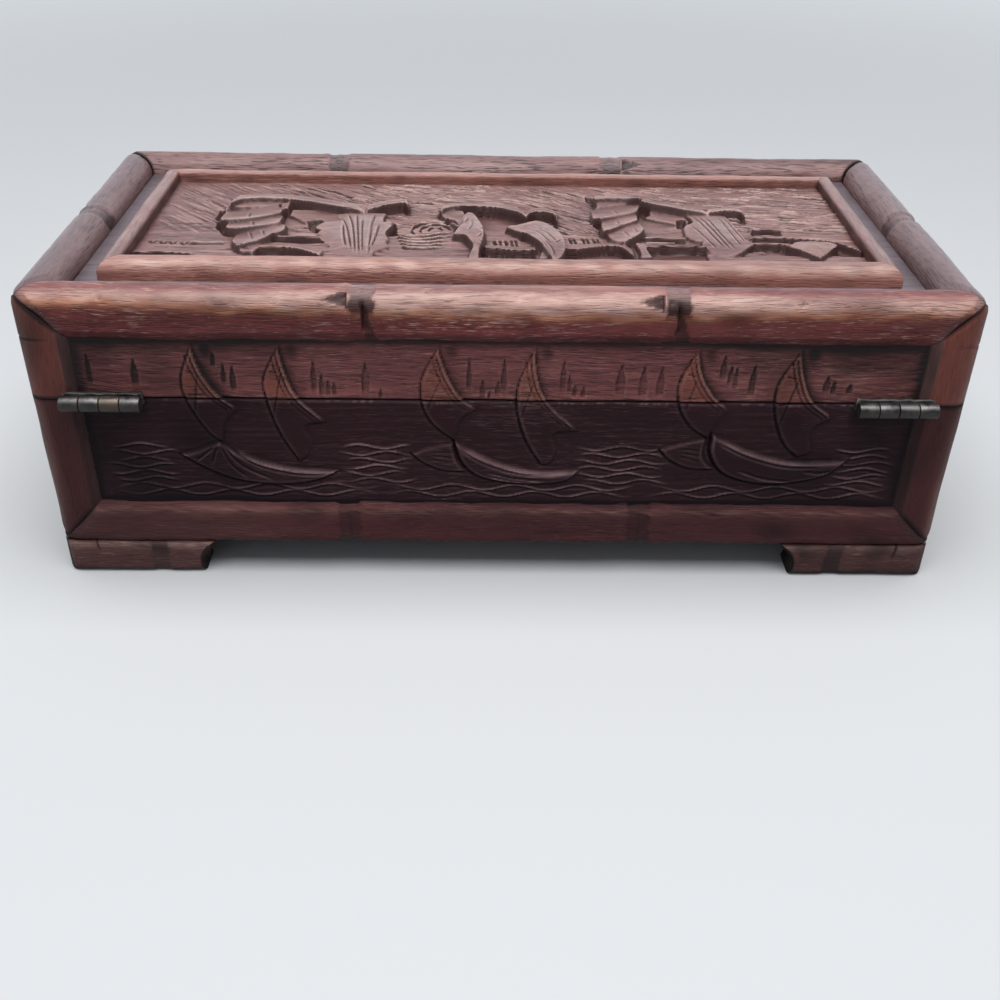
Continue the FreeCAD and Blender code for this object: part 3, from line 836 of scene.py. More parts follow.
# Reeds: place, top, bottom and width
REEDS = [(-120.8, 78, 67.5, 1.6), (-107.5, 76.4, 67.5, 2.1), (-81.6, 75.6, 68, 1.3), (-79, 74.6, 65.5, 1.7),
         (-84.2, 79, 74, 1.3), (-55.2, 77.4, 65, 1.7), (-53, 72.6, 64.4, 1.6), (-51.2, 70, 64.2, 1.6),
         (-49.4, 69.4, 64.2, 1.6), (-40, 76, 64.6, 2.3), (-35.7, 67.2, 64, 1.3), (-9.4, 78.4, 66, 1.5),
         (-5.4, 70.6, 64.4, 1.7), (-3.4, 66.8, 64, 1.0), (-0.9, 70, 64.4, 1.6), (0.9, 77.6, 65, 1.8),
         (18.4, 77.2, 66, 2.0), (20.2, 72.6, 66, 1.5), (21.9, 69, 65, 1.4), (24.5, 68.6, 64.6, 1.5),
         (35.5, 76.4, 64.8, 2.7), (42.2, 75.6, 64.8, 2.5), (47.4, 75.2, 64.8, 2.3), (65.5, 79.2, 70.6, 2.0),
         (67.8, 76.4, 69, 1.6), (69.4, 75.6, 68, 1.6), (74.6, 76.4, 65.6, 2.0), (96.8, 73, 66.5, 2.1),
         (98.9, 71, 66.5, 1.6), (103.8, 70.2, 66.5, 1.8)]
WAVE_LEVELS = (47.4, 45.0, 42.6, 40.2, 37.8, 35.4, 33.0, 30.6)
SHALLOWS = 35


def moved(line, shift):
    return [(x + shift, z) for x, z in line]


def carve_sail(carving, luff, foot_line, leech):
    """A sail with a hollow behind its tip darkened as painted shade, painted shade to the right of its upper leech,
    cut lines along its leech and three across.
    """
    tip = luff[0]
    # The hollow behind the tip is darkened as painted shade
    hollow = np.exp(-((carving.across - tip[0] - 3.8) / 2.6) ** 2 - ((carving.up - 80) / 4.5) ** 2)
    carving.rise -= 0.4 * hollow
    carving.darken(..., 0.62 * hollow)
    made = carving.form(closed((luff, foot_line, leech)), 0.6, 0.8, cut=0.45, width=0.45, stain=0.36)
    if not made:
        return
    part, gap = made
    _, rightward = np.gradient(gap, carving.step)
    # Painted shade to the right of the upper leech
    beside = bell(np.maximum(gap, 0), 2.4) * (gap > 0) * ease(rightward * 1.5)
    beside = beside * ease((carving.up[part] - 60) / 6)
    carving.rise[part] -= 0.35 * beside
    carving.darken(part, 0.5 * beside)
    carving.warm[part] = np.where(gap < -0.15, ease((carving.up[part] - 62.5) / 1.5), carving.warm[part])
    below, _ = carving.to_line(part, smooth(foot_line))
    carving.hushed[part] = np.maximum(carving.hushed[part], ease(2.2 - below))
    edge = smooth(leech)
    inward = np.array(luff[2]) - np.array(leech[1])
    inward = inward / np.linalg.norm(inward)
    for gap_in, depth, width in ((0.5, -0.25, 0.6), (1.3, 0.4, 0.4), (2.7, 0.3, 0.4)):
        carving.stroke(edge[1:-2] + inward * gap_in, depth, width, 0.5, fade=False)
    along = smooth(luff)
    other = edge[::-1]
    for start, end, short_by in ((0.62, 0.28, 2.8), (0.45, 0.7, 3.0), (0.2, 0.42, 2.6)):
        a = along[int(start * (len(along) - 1))]
        b = other[int(end * (len(other) - 1))]
        direction = (b - a) / max(np.linalg.norm(b - a), 1e-6)
        carving.stroke([a + direction * 0.8, b - direction * short_by], 0.3, 0.4, 0.45)


def carve_junk(carving, junk, shift):
    """Sails first, then the stern leaf and the hull over their feet."""
    for sail in junk["sails"]:
        carve_sail(carving, *(moved(line, shift) for line in linked(sail)))
    if junk["leaf"]:
        lines = [moved(line, shift) for line in linked(junk["leaf"])]
        carving.form(closed(lines), 0.7, 0.9, cut=0.5, width=0.45, stain=0.5)
        tail = np.array(lines[0][0])
        stem = np.array(lines[1][1])
        for rise in (-1.6, 0.4, 2.4):
            carving.stroke([stem + (-1.2, rise), stem * 0.45 + tail * 0.55 + (0, rise * 0.6)], 0.35, 0.45, 0.4)
    lines = [moved(line, shift) for line in linked(junk["hull"])]
    hull = carving.form(closed(lines), 1.1, 1.0, cut=0.65, width=0.5, stain=0.6)
    if hull:
        carving.hushed[hull[0]] *= hull[1] > 0.6
    carving.stroke(smooth(lines[-2])[2:-1] + (0.2, -1.0), -0.4, 1.5, 0.8)
    for plank in junk["planks"]:
        carving.stroke(moved(plank, shift), 0.42, 0.5, 0.5)
        carving.stroke(moved([(x, z - 0.75) for x, z in plank], shift), -0.15, 0.4, 0.7)


def carve_waves(carving, junks, reach, chance):
    """Wave crests between the hulls, and from side to side below them."""
    hulls = sorted((design["middle"] + shift - 24, design["middle"] + shift + 24) for design, shift in junks)
    for n, level in enumerate(WAVE_LEVELS):
        if level < SHALLOWS:
            stretches = [(-reach, -0.3 * reach), (-0.3 * reach, 0.35 * reach), (0.35 * reach, reach)]
            swell, length = 0.95, 19.5
        else:
            stretches = list(zip([-reach] + [end for _, end in hulls], [start for start, _ in hulls] + [reach]))
            swell, length = 0.75, 16.5
        for start, end in stretches:
            start += chance.uniform(0, 4) + (5 if start == -reach else 0)
            end -= chance.uniform(0, 3) + (2 if end == reach else 0)
            phase = chance.uniform(-1.3, 1.3) + math.pi * (n % 2)
            if end - start > 7:
                carving.wave([(x, level + swell * math.sin(2 * math.pi * x / length + phase))
                              for x in np.arange(start, end, 1.7)])


def wall_carving(side, junks, reeds, low, high, lid, step, seed):
    """The carved face of a wall panel between two heights; junks come as (design, shift)."""
    reach = side.half - FRAME + 1.0
    carving = Carving(-reach, reach, low, high, step, seed)
    shape = carving.rise.shape
    here = np.column_stack([carving.across.ravel() * 0.12, carving.up.ravel()])
    carving.rise += (0.1 * wander(here, 2.2, seed) + 0.05 * wander(here, 0.8, seed + 1)).reshape(shape)
    calm = np.column_stack([carving.across.ravel(), carving.up.ravel()])
    carving.rise += 0.16 * wander(calm, 30, seed + 2).reshape(shape)
    for design, shift in junks:
        carve_junk(carving, design, shift)
    for x, top, bottom, width in reeds:
        if abs(x) < reach - 2:
            carving.blade(x, top, bottom, width)
    chance = np.random.default_rng(seed + 7)
    carve_waves(carving, junks, reach, chance)
    seam_level = LID_FLOOR if lid else BASE_TOP
    torn_level = LID_FLOOR + 0.5 if lid else BASE_TOP - 0.5
    for _ in range(int(reach * 0.5)):
        x = chance.uniform(-reach, reach)
        tear = [(x, torn_level), (x + chance.uniform(0.4, 1.6), torn_level)]
        carving.stroke(tear, -0.1, 0.5, chance.uniform(0.2, 0.8))
    # Painted shade along the rails and posts where the panel meets the frame
    beside_rail = RAIL_BOTTOM - carving.up if lid else carving.up - RAIL_TOP
    edge = np.minimum(reach - 1 - np.abs(carving.across), beside_rail)
    carving.darken(..., 0.85 * np.exp(-np.maximum(edge, 0) / (2.0 if lid else 1.3)))
    if side is sides["rear"] and not lid:
        carving.dark += 0.15 * ease((-carving.across - 0.35 * reach) / (0.4 * reach))
    ends = ease((np.abs(carving.across) - 0.35 * reach) / (0.4 * reach))
    carving.dark += (0.46 if lid else 0.4) * ends * (0.8 + 0.4 * wander(calm, 20, seed + 3).reshape(shape))
    seam = np.abs(carving.up - seam_level)
    carving.rise -= 0.45 * unit(1 - seam / 0.5)
    carving.darken(..., 0.6 * unit(1 - seam / 0.7))
    # Painted shadow on the base panel under each hinge
    if side is sides["rear"] and not lid:
        beside_hinge = ease((15 - np.abs(np.abs(carving.across) - HINGES["right"])) / 4)
        under_hinge = beside_hinge * ease((BASE_TOP - carving.up) / 1.5) * ease((carving.up - 51) / 9)
        carving.darken(..., 0.75 * under_hinge)
    return carving


def wall_panel(name, side, lid, junks, reeds, step, seed):
    low, high = (LID_FLOOR, RAIL_BOTTOM + 1) if lid else (RAIL_TOP - 1, BASE_TOP)
    carving = wall_carving(side, junks, reeds, low, high, lid, step, seed)

    def back(points):
        return points + side.inward * (WALL * MM - (points - side.foot * MM) @ side.inward)[:, None]

    return carving.sheet(name, lambda x, z, rise: side.place(np.column_stack([x, RECESS - rise, z])), back)


# The picture on the top, in millimetres to the right and away as seen from behind the box. Its outlines were read
# off on a plane 2 mm under the rim of the border; a form at another level moves along the line of sight. Levels are
# counted from the rim.
LIP = -0.6
LOBE = -1.1
LEAF = -1.0
VEIN = -1.3
SKY = -3.4
WATER = -3.7
POCKET = -4.2
HOLLOW = -5.1
LEDGE_HOLLOW = -4.9
EDGE_WALL = 0.7
SKY_MARKS = 1500
WATER_MARKS = 420
MARK_REACH = 113
VIEWER = np.array((-5.2, -302.7))
VIEWER_LEVEL = 131.7
READ_LEVEL = -2.0


def laid(points, level):
    return VIEWER + (np.array(points, float) - VIEWER) * (VIEWER_LEVEL - level) / (VIEWER_LEVEL - READ_LEVEL)


def outline_of(level, lines):
    return closed(laid(line, level) for line in linked(lines))


def ring(points, level):
    """A smooth outline without corners."""
    return smooth(laid(points + points[:1], level))[:-1]


def carve_roof(carving, lip, breadth):
    """The curved upper edge of a sail: a sharp lip that falls away behind."""
    line = smooth(laid(lip, LIP))
    swell = np.sin(np.linspace(0.25, math.pi - 0.25, len(line))) ** 0.7
    outline = np.vstack([line, (line + np.column_stack([0 * swell, breadth * swell]))[::-1]])
    part = carving.window(outline, MARGIN)
    gap, _ = carving.to_line(part, line)
    carving.lift(outline, LIP, EDGE_WALL, -0.05 * gap - 0.22 * np.maximum(gap - breadth * 0.4, 0), True)
    # The lip and the band behind it are lightened: abrasion and a painted highlight where the lip catches the light
    carving.stroke(line + (0, 0.5), -0.1, 0.8, 0.9, fade=False)
    inside = carving.to_form(part, outline) < 0
    carving.rub(part, 0.5 * inside * ease((breadth * 0.75 - gap) / 2))
    chance = carving.chance
    for back in range(2, int(breadth)):
        carving.stroke(line[3:-3] + (0, back + chance.uniform(-0.3, 0.3)), chance.uniform(-0.25, 0.3), 0.5, 0.5)


def carve_lobe(carving, near, far, left):
    """A band of a ribbed sail, highest along its near edge; it runs on under the next."""
    far = [(x, y + 4.0) for x, y in far]
    outline = outline_of(LOBE, (near[:-1], near[-1:], far[:-1], far[-1:] + left))
    part = carving.window(outline, MARGIN)
    line = smooth(laid(near, LOBE))
    gap, _ = carving.to_line(part, line)
    carving.lift(outline, LOBE, EDGE_WALL, -0.16 * gap)
    # The band near its near edge is lightened: abrasion and a painted highlight where the edge catches the light
    carving.rub(part, 0.45 * (carving.to_form(part, outline) < 0) * ease((5 - gap) / 3))
    carving.stroke(line + (0, 0.5), -0.1, 0.7, 0.8, fade=False)


def carve_ledge(carving, level, breadth, hollow, lip):
    """A bank or rail with a sharp near lip, and a hollow in front of it."""
    line = smooth(laid(lip, level))
    if hollow:
        carving.lift(np.vstack([line + (0, 0.6), line[::-1] - (0, hollow)]), LEDGE_HOLLOW, 0.8, start=0.5)
    outline = np.vstack([line, line[::-1] + (0, breadth)])
    part = carving.window(outline, MARGIN)
    gap, _ = carving.to_line(part, line)
    carving.lift(outline, level, EDGE_WALL, -gap * max(level - WATER - 0.2, 0.2) / breadth, True)
    carving.stroke(line + (0, 0.5), -0.08, 0.7, 0.7, fade=False)


def carve_veins(carving, lines, level, depth, width=0.5):
    """Cut veins, each with a raised edge on its left."""
    for line in lines:
        carving.stroke(laid(line, level), depth, width, 0.5)
        carving.stroke(laid([(x - 0.7, y) for x, y in line], level), -0.2, 0.45, 0.7)


def carve_maple(carving, lines, stem, veins):
    """A sail like a maple leaf, highest along its stem, that falls away at its foot and a little at its head."""
    outline = outline_of(-1.4, lines)
    part = carving.window(outline, MARGIN)
    away = carving.up[part]
    from_stem, _ = carving.to_line(part, smooth(laid(stem, VEIN)))
    lower = np.clip((58 - away) * 0.08, 0, 1.9)
    carving.lift(outline, -1.0, EDGE_WALL, -lower - 0.1 * from_stem - 0.08 * np.maximum(away - 64, 0))
    carve_veins(carving, veins, VEIN, 0.45, 0.45)


def carve_leaf(carving, lines, slope, left_of, below, depth, veins):
    """A curved sail that falls away on its left and at its foot."""
    outline = outline_of(LEAF, lines)
    part = carving.window(outline, MARGIN)
    fall = -slope * np.maximum(left_of - carving.across[part], 0) - 0.03 * np.maximum(below - carving.up[part], 0)
    carving.lift(outline, -0.8, EDGE_WALL, fall)
    carve_veins(carving, veins, LEAF, depth)


def carve_curl(carving, arc, level, depth, stain, edge):
    """A deep curved cut in the water with a raised edge behind it."""
    carving.stroke(laid(arc, level), depth, 0.7, stain)
    carving.stroke(laid([(x, y + edge) for x, y in arc], level), -0.6, 0.7, 0.8)


# Bands of the two ribbed sails: near edge, far edge and a point on the left
RIBBED_SAILS = [
    ([(-82.4, 41.5), (-79.8, 43.8), (-76.7, 46), (-74.5, 48.8), (-72.6, 52.3), (-70.4, 54.2), (-69.6, 55.7)],
     [(-70.4, 59), (-75, 58.6), (-80, 57.2), (-84.6, 56)], [(-85, 49)]),
    ([(-87.9, 56.3), (-84.7, 56.6), (-80.7, 58.1), (-76.7, 59.9), (-73.2, 61.7), (-72.1, 62.8)],
     [(-72.4, 67), (-77, 66.6), (-82, 65), (-88.6, 63.6)], [(-89.1, 59.5)]),
    ([(-91.2, 63), (-88.4, 64.2), (-84.3, 65.2), (-80.4, 66.9), (-76.6, 69.1), (-74.3, 70.6), (-72.8, 71.6)],
     [(-73.5, 75), (-77.6, 76.3), (-81.6, 75.2), (-86.7, 74.6), (-92, 74.2)], [(-92.3, 68.5)]),
    ([(39.2, 48), (41.7, 51), (45, 55.6), (46.6, 59.5)], [(46.2, 64), (42, 62), (38, 59.4), (34.4, 56.6)],
     [(36, 51.5)]),
    ([(33.2, 57.5), (36.4, 59.9), (39.9, 63.4), (43.4, 66.3), (45.4, 68.2)],
     [(46, 73), (42, 71.4), (38, 69), (33.8, 67)], [(33, 61)]),
    ([(30.9, 68.2), (35.5, 70.2), (39.6, 72.2), (43.8, 74.7), (46.2, 76.6)],
     [(48.6, 85.2), (44, 82.2), (38, 79.6), (31.4, 77)], [(30.6, 72.5)]),
]
RIBS = [
    [(-83.4, 73.6), (-82.6, 66.4)], [(-81, 64.2), (-80, 58.8)], [(-80.6, 55.6), (-78.2, 47)],
    [(-76.6, 56.6), (-75, 50)], [(38.4, 78.4), (39.6, 73)], [(38.6, 67.4), (39, 63.6)], [(40, 59), (41.4, 52.6)],
    [(43.6, 60.8), (44.4, 56.4)],
]
# Upper edges of the sails, each with the breadth that falls away behind it
ROOFS = [
    ([(-91, 80.6), (-88.2, 84.3), (-85, 85.2), (-81.1, 85.6), (-75.6, 85.2), (-71.8, 84.3), (-68.3, 83.2),
     (-64.4, 82), (-60, 80.3), (-55.9, 78.5), (-52.4, 76.8), (-49.4, 75), (-47.4, 72.6), (-44.8, 69.6)], 9.0),
    ([(-44.8, 69.6), (-44.4, 74.4), (-41.6, 77.3), (-38.8, 79.7), (-35.5, 81.2), (-32.7, 82), (-31.2, 78.6)], 7.5),
    ([(-19.9, 74.6), (-19, 77), (-17.3, 78.4), (-14.7, 79.2), (-10.3, 79.5), (-6.2, 79.1), (-2.9, 78.6), (-0.3, 77.9),
     (2.3, 76.3), (4.9, 74.8), (6.7, 72.9), (7.7, 70.8), (8.6, 69)], 6.5),
    ([(8.6, 69), (9.2, 71.5), (10, 73), (11.8, 74.6), (14, 74.8), (16.2, 73.8), (17.9, 72.2), (18.7, 67.6)], 6.5),
    ([(32.5, 88.3), (38.7, 89.4), (43.9, 88.7), (46.8, 87.3), (50.6, 84.6), (52.9, 83.2), (56.9, 81.4), (60.1, 79.4),
     (62.9, 77.8), (65.2, 76.4), (67.2, 75.7), (68.8, 74.5), (69.5, 73.3)], 6.5),
    ([(69.5, 73.3), (70.6, 75), (71.7, 75.9), (73.2, 76.7), (76.8, 77.8), (79.8, 77.5), (81.3, 76.2), (81.9, 73)],
     5.5),
]
# Shallow ground under the sails, and deep cuts beside them
POCKETS = [
    [(-91, 79), (-80, 79), (-70, 77.5), (-58, 75), (-52, 70), (-50, 62), (-57, 57), (-70, 55), (-86, 50), (-92, 60)],
    [(-44, 72), (-38, 75), (-31.5, 76.5), (-31, 70), (-36, 66), (-42, 64)],
    [(-19, 74), (-8, 76), (0, 74), (6, 70), (12, 70), (17.6, 68), (18, 62), (10, 55), (2, 52), (-4, 50), (-12, 56),
     (-18, 66)],
    [(33, 86), (46, 84), (56, 78.5), (66, 73), (62, 62), (52, 56), (40, 48), (31, 52), (29.5, 68)],
    [(71, 74), (80, 74.5), (81.5, 70), (76, 67), (71, 68)],
]
HOLLOWS = [
    [(-73.2, 73.4), (-70.6, 73), (-70.8, 63), (-72.6, 61.4)], [(-92.4, 70), (-91, 69), (-90.6, 62), (-92.6, 62.6)],
    [(-91.4, 60), (-89, 60), (-88.2, 53), (-90.6, 53.6)], [(-89.6, 53), (-86, 54), (-84.6, 47.4), (-87.6, 48.6)],
    [(-62.6, 60.4), (-58, 61.2), (-56.4, 51.4), (-60.6, 52.6)],
    [(-57, 50.2), (-53.2, 49.6), (-53, 45.4), (-56, 45.8)],
    [(-36.6, 58.8), (-34.4, 59.4), (-33.4, 50.6), (-36.2, 49.6)],
    [(-20.8, 72.4), (-19.2, 71.6), (-13.8, 60), (-15.6, 59.6)], [(-15.4, 54), (-12, 53.4), (-9, 44), (-10.4, 43)],
    [(-7, 49.6), (-5.3, 50.4), (-5, 33), (-7, 33)],
    [(5.6, 54), (9, 52), (13, 46), (16, 33), (13, 33), (11, 44), (6, 46)],
    [(8.2, 66), (10, 65.4), (10.2, 60), (8.4, 60.6)], [(29.2, 87), (31.5, 86.6), (34, 80), (30, 80.6)],
    [(29.6, 66), (34, 65.4), (33, 58.4), (30.2, 59)], [(31.2, 55.4), (34.6, 55), (36.2, 49.2), (32.4, 49.8)],
    [(47, 81), (49.6, 81), (49.2, 69), (46.8, 69.6)], [(57.8, 64.4), (60.4, 64.4), (60, 57), (57.4, 57.4)],
    [(61, 53.6), (64.8, 52.6), (64.8, 48.4), (61.6, 49)],
    [(64.8, 45.6), (68.4, 44.6), (69.2, 40), (67, 37.6), (64.6, 38.6)],
    [(71.4, 41), (74.6, 41), (75.4, 37), (71, 37)],
    [(79, 36.4), (84, 40.6), (88, 43.6), (91, 44.4), (94, 42), (98.2, 36.4)],
    [(98.9, 36.4), (102, 42), (106, 45), (109, 44), (112.6, 36.4)],
]
# Cloth between the sails: the level it was read at, its level, the breadth of its wall and its outline
FACES = [
    (-2.6, -3.1, 0.7, [[(-69.5, 75), (-60, 75)], [(-55.5, 74)],
     [(-52, 65), (-56, 63.8), (-59.6, 62.4), (-64.2, 64.6), (-67, 67.8)], [(-69.5, 70)]]),
    (-2.6, -3.0, 0.7, [[(49.4, 78.6), (56, 78), (60.5, 74)], [(62, 68)], [(60, 64.8), (56.6, 66.5), (52.3, 68.6)],
     [(48.8, 70.8)]]),
    (-2.0, -2.0, 1.4, [[(-90.4, 80), (-88, 83.5), (-84, 84.8)], [(-74.4, 84.6)], [(-73.8, 77), (-82, 76)],
     [(-91.6, 75.4)]]),
    (-2.0, -2.0, 1.4, [[(33.4, 87.6), (39, 88.8)], [(46, 86.8)], [(48, 84), (44, 81), (38, 78.6)], [(33, 77.6)]]),
]
# Banks and rails: level, breadth, hollow in front and near lip
LEDGES = [
    (-2.2, 3.2, 2, [(-75.6, 49.6), (-66, 49.4), (-55.5, 49.2)]),
    (-2.3, 5, 6, [(-113, 35), (-104, 35.4), (-95, 34.2)]),
    (-2.0, 7, 8, [(-75.5, 40.6), (-71, 40.8), (-66.8, 40.4), (-63.2, 39.4), (-59.6, 37.2), (-55.8, 34.3)]),
    (-2.1, 6, 7, [(-5, 41.4), (0, 40.8), (5, 39.8), (10.6, 40.4)]),
    (-1.8, 7, 8, [(20.5, 41), (24, 41.2), (28.8, 43), (33.5, 44.3), (36.6, 44), (38.6, 41.8), (39.8, 38.6),
     (41, 35.5)]),
    (-2.5, 3, 1, [(46.2, 51.6), (52, 51.4), (58.8, 51.2)]),
    (-2.6, 2.2, 0, [(46, 47.4), (51, 47.4), (55, 47.2)]),
    (-1.9, 2.6, 9, [(45.6, 44.4), (52, 44.8), (58, 45), (64.6, 44.4)]),
    (-2.4, 3, 2.2, [(81.7, 59.6), (86, 60), (91.3, 59.8)]),
    (-2.4, 3, 1.2, [(80.8, 52.4), (88.3, 53), (94.5, 52.3), (99.9, 51.4), (104.6, 50.4), (107.2, 48.7), (110.2, 45.5),
     (112.8, 41.8)]),
    (-2.2, 4, 3, [(75.5, 43.2), (78.3, 46.5), (83, 47.5), (89.5, 47), (91.3, 45.6)]),
]
# Small forms: level and outline
BLOCKS = [
    (-2.4, [[(-79.8, 44.4)], [(-76.3, 46.4), (-75.4, 41)], [(-76.6, 36.4), (-80.6, 37.6)]]),
    (-2.3, [[(42.6, 46.8)], [(45.4, 46.2), (45.6, 40)], [(46.4, 35)], [(43.2, 35), (43.4, 41)]]),
    (-1.9, [[(91, 45.6), (95, 49.4), (104, 49.4)], [(106.6, 46.6), (102, 40.6)], [(98.6, 36.2), (95.5, 40.6)]]),
    (-2.6, [[(11.7, 33.5)], [(13, 40.5), (15.2, 36)], [(15.4, 33.5)]]),
    (-1.9, [[(-20.4, 72.4), (-17, 74.4), (-12.6, 74)], [(-12.2, 66)], [(-13.8, 60), (-17, 65.4)]]),
    (-1.7, [[(-73.8, 80.5)], [(-71.3, 80.8)], [(-71.2, 74.8)], [(-73.7, 75)]]),
]
# Sails like maple leaves: outline, stem and veins
MAPLES = [
    ([[(-59.3, 63.4), (-57.6, 65), (-53.9, 65.2)], [(-51.6, 65.6)], [(-54.4, 73.6), (-49.5, 73.6)],
     [(-45, 69), (-43.4, 73)], [(-38.4, 73.6), (-38.8, 68)], [(-38.3, 63.6), (-36.8, 64.8), (-35.4, 63.2)],
     [(-35.8, 59.6), (-37.2, 55)], [(-36, 50.8), (-36.8, 48.4)], [(-35.7, 45.8), (-37.5, 43.6)],
     [(-40, 41.4), (-40.8, 37)], [(-41.5, 33.6), (-43.4, 34.4), (-46.7, 36.6)], [(-48.9, 39)], [(-51.3, 40.2)],
     [(-54.4, 43.2), (-53.6, 46.4)], [(-55, 48.6), (-57, 51)], [(-57.2, 54.2), (-58.8, 56)],
     [(-58.2, 58.6), (-60.2, 60.8)]], [(-44.6, 69), (-43.7, 60), (-42.4, 40), (-41.7, 34)],
     [[(-51.4, 64), (-50.4, 54), (-48.8, 45)], [(-53.4, 72), (-50, 60), (-46.8, 42)],
     [(-50.6, 72.6), (-48, 60), (-45.4, 40)], [(-47.6, 71.4), (-46.2, 58), (-44, 38)],
     [(-41.6, 71.6), (-41.8, 58), (-41.2, 38)], [(-39.4, 62), (-40, 52), (-40.8, 44)],
     [(-45.2, 66), (-44.6, 56), (-43.2, 40)]]),
    ([[(60.9, 64.4), (63.4, 66.4), (63.8, 70)], [(62.8, 75.4), (66, 74.2)], [(69.5, 71.6), (71.4, 74)],
     [(75.6, 74.4), (76.8, 63), (78.4, 52.6)], [(80, 49), (77, 44.5)], [(75.4, 42.6), (72, 41)],
     [(68, 41.8), (66.4, 43.6)], [(66, 46), (64.4, 49)], [(65.1, 52.3), (63, 52.6)], [(61.2, 54.4), (60.2, 57)],
     [(60.2, 59.8), (60.2, 62.4)]], [(69.5, 72.6), (71.6, 62), (73.3, 52.5), (75.4, 43.5)],
     [[(64.6, 73.6), (67.4, 60), (71, 46)], [(66.4, 73), (69, 60), (72.6, 45)], [(68.4, 72), (70.8, 58), (74.4, 44)],
     [(72.6, 72.6), (74.4, 58), (76.6, 47)], [(74.6, 72), (76.2, 60), (78.4, 50)],
     [(62.6, 65), (65.6, 56), (68.6, 46)]]),
]
# Curved sails: outline, slope to the left of a place, where the foot begins to fall, and depth and lines of veins
LEAVES = [
    ([[(-11, 73.4), (-9.2, 72), (-7.3, 66), (-5.9, 60), (-5.5, 54), (-5.9, 48), (-6.9, 41)], [(-7.2, 33)],
     [(-10.3, 33), (-9.6, 38.5), (-8.8, 44), (-10, 49), (-11.7, 53.2)],
     [(-15.2, 54.6), (-13.9, 60), (-12.3, 65.3), (-12.2, 70.5)]], 0.12, -9, 52, 0.3, [[(-9.4, 66), (-9.2, 61),
     (-10.6, 57)], [(-7.2, 51), (-5.8, 54)], [(-11.6, 64), (-10.6, 68)]]),
    ([[(5.2, 62.3), (7.7, 63.4), (10, 64.6), (12.1, 65.3), (14.9, 63.2), (17.3, 59.2), (19.1, 54.2), (19.9, 49.3),
     (20.2, 43.4), (18.8, 36.8)], [(16.9, 33)],
     [(15.7, 33), (15, 37.6), (13.5, 43.4), (12, 47.8), (9.7, 51.8), (7.7, 54.8), (5.5, 56.6)],
     [(2, 61.2), (3.6, 62.2)]], 0.1, 9, 48, 0.4, [[(8.6, 57.6), (12.6, 54), (16.6, 44)],
     [(9.4, 60), (14.4, 55.4), (18.2, 45.6)], [(11, 61.6), (16, 56)], [(17.4, 47), (19, 49)],
     [(13.6, 50), (16, 42), (16.6, 36)]]),
]
# Single cuts in the distance: depth, width, stain and line
CUTS = [
    (0.7, 0.9, 0.85, [(-98, 43), (-92, 42.8), (-86, 43.4)]), (-0.4, 0.8, 0.6, [(-98, 44.2), (-92, 44), (-86, 44.6)]),
    (0.7, 0.9, 0.8, [(-88, 38.2), (-82, 38), (-77.6, 36.2)]),
    (0.45, 0.6, 0.6, [(92, 59.6), (98, 59.3), (105.4, 59.4)]), (0.4, 0.6, 0.6, [(93, 56), (97, 55.8), (101.6, 55.6)]),
]
# Places painted with a pale sheen that stands for reflected light: right, away and breadth
SHEENS = ((-46, 55, 11), (70, 58, 8), (-8, 60, 5), (14, 52, 6), (-47, 80, 8))


def carve_sky(carving):
    """Short curved tool marks over the sky, and level ones over the water."""
    chance = carving.chance
    for _ in range(SKY_MARKS):
        x, y = chance.uniform(-MARK_REACH, MARK_REACH), chance.uniform(62, 105)
        slope = -0.95 if x < -88 else -0.12 if x > 82 else -0.45 - 0.35 * math.sin(x / 14)
        length = chance.uniform(4, 11)
        bow = chance.uniform(-0.6, 0.6)
        run = [(x, y), (x + length * 0.5, y + slope * length * 0.5 + bow), (x + length, y + slope * length)]
        force = 0.5 if x < -82 else 1.0
        if chance.uniform() < 0.6:
            depth, width = force * chance.uniform(0.25, 0.5), chance.uniform(0.4, 0.6)
            carving.stroke(run, depth, width, force * chance.uniform(0.5, 0.9))
        else:
            depth, width = -force * chance.uniform(0.2, 0.4), chance.uniform(0.4, 0.7)
            carving.stroke(run, depth, width, chance.uniform(0.6, 1.0))
    for _ in range(WATER_MARKS):
        x, y = chance.uniform(-MARK_REACH, MARK_REACH), chance.uniform(36, 66)
        run = [(x, y), (x + chance.uniform(4, 14), y + chance.uniform(-0.7, 0.5))]
        carving.stroke(run, chance.uniform(-0.3, 0.35), chance.uniform(0.4, 0.6), 0.55)


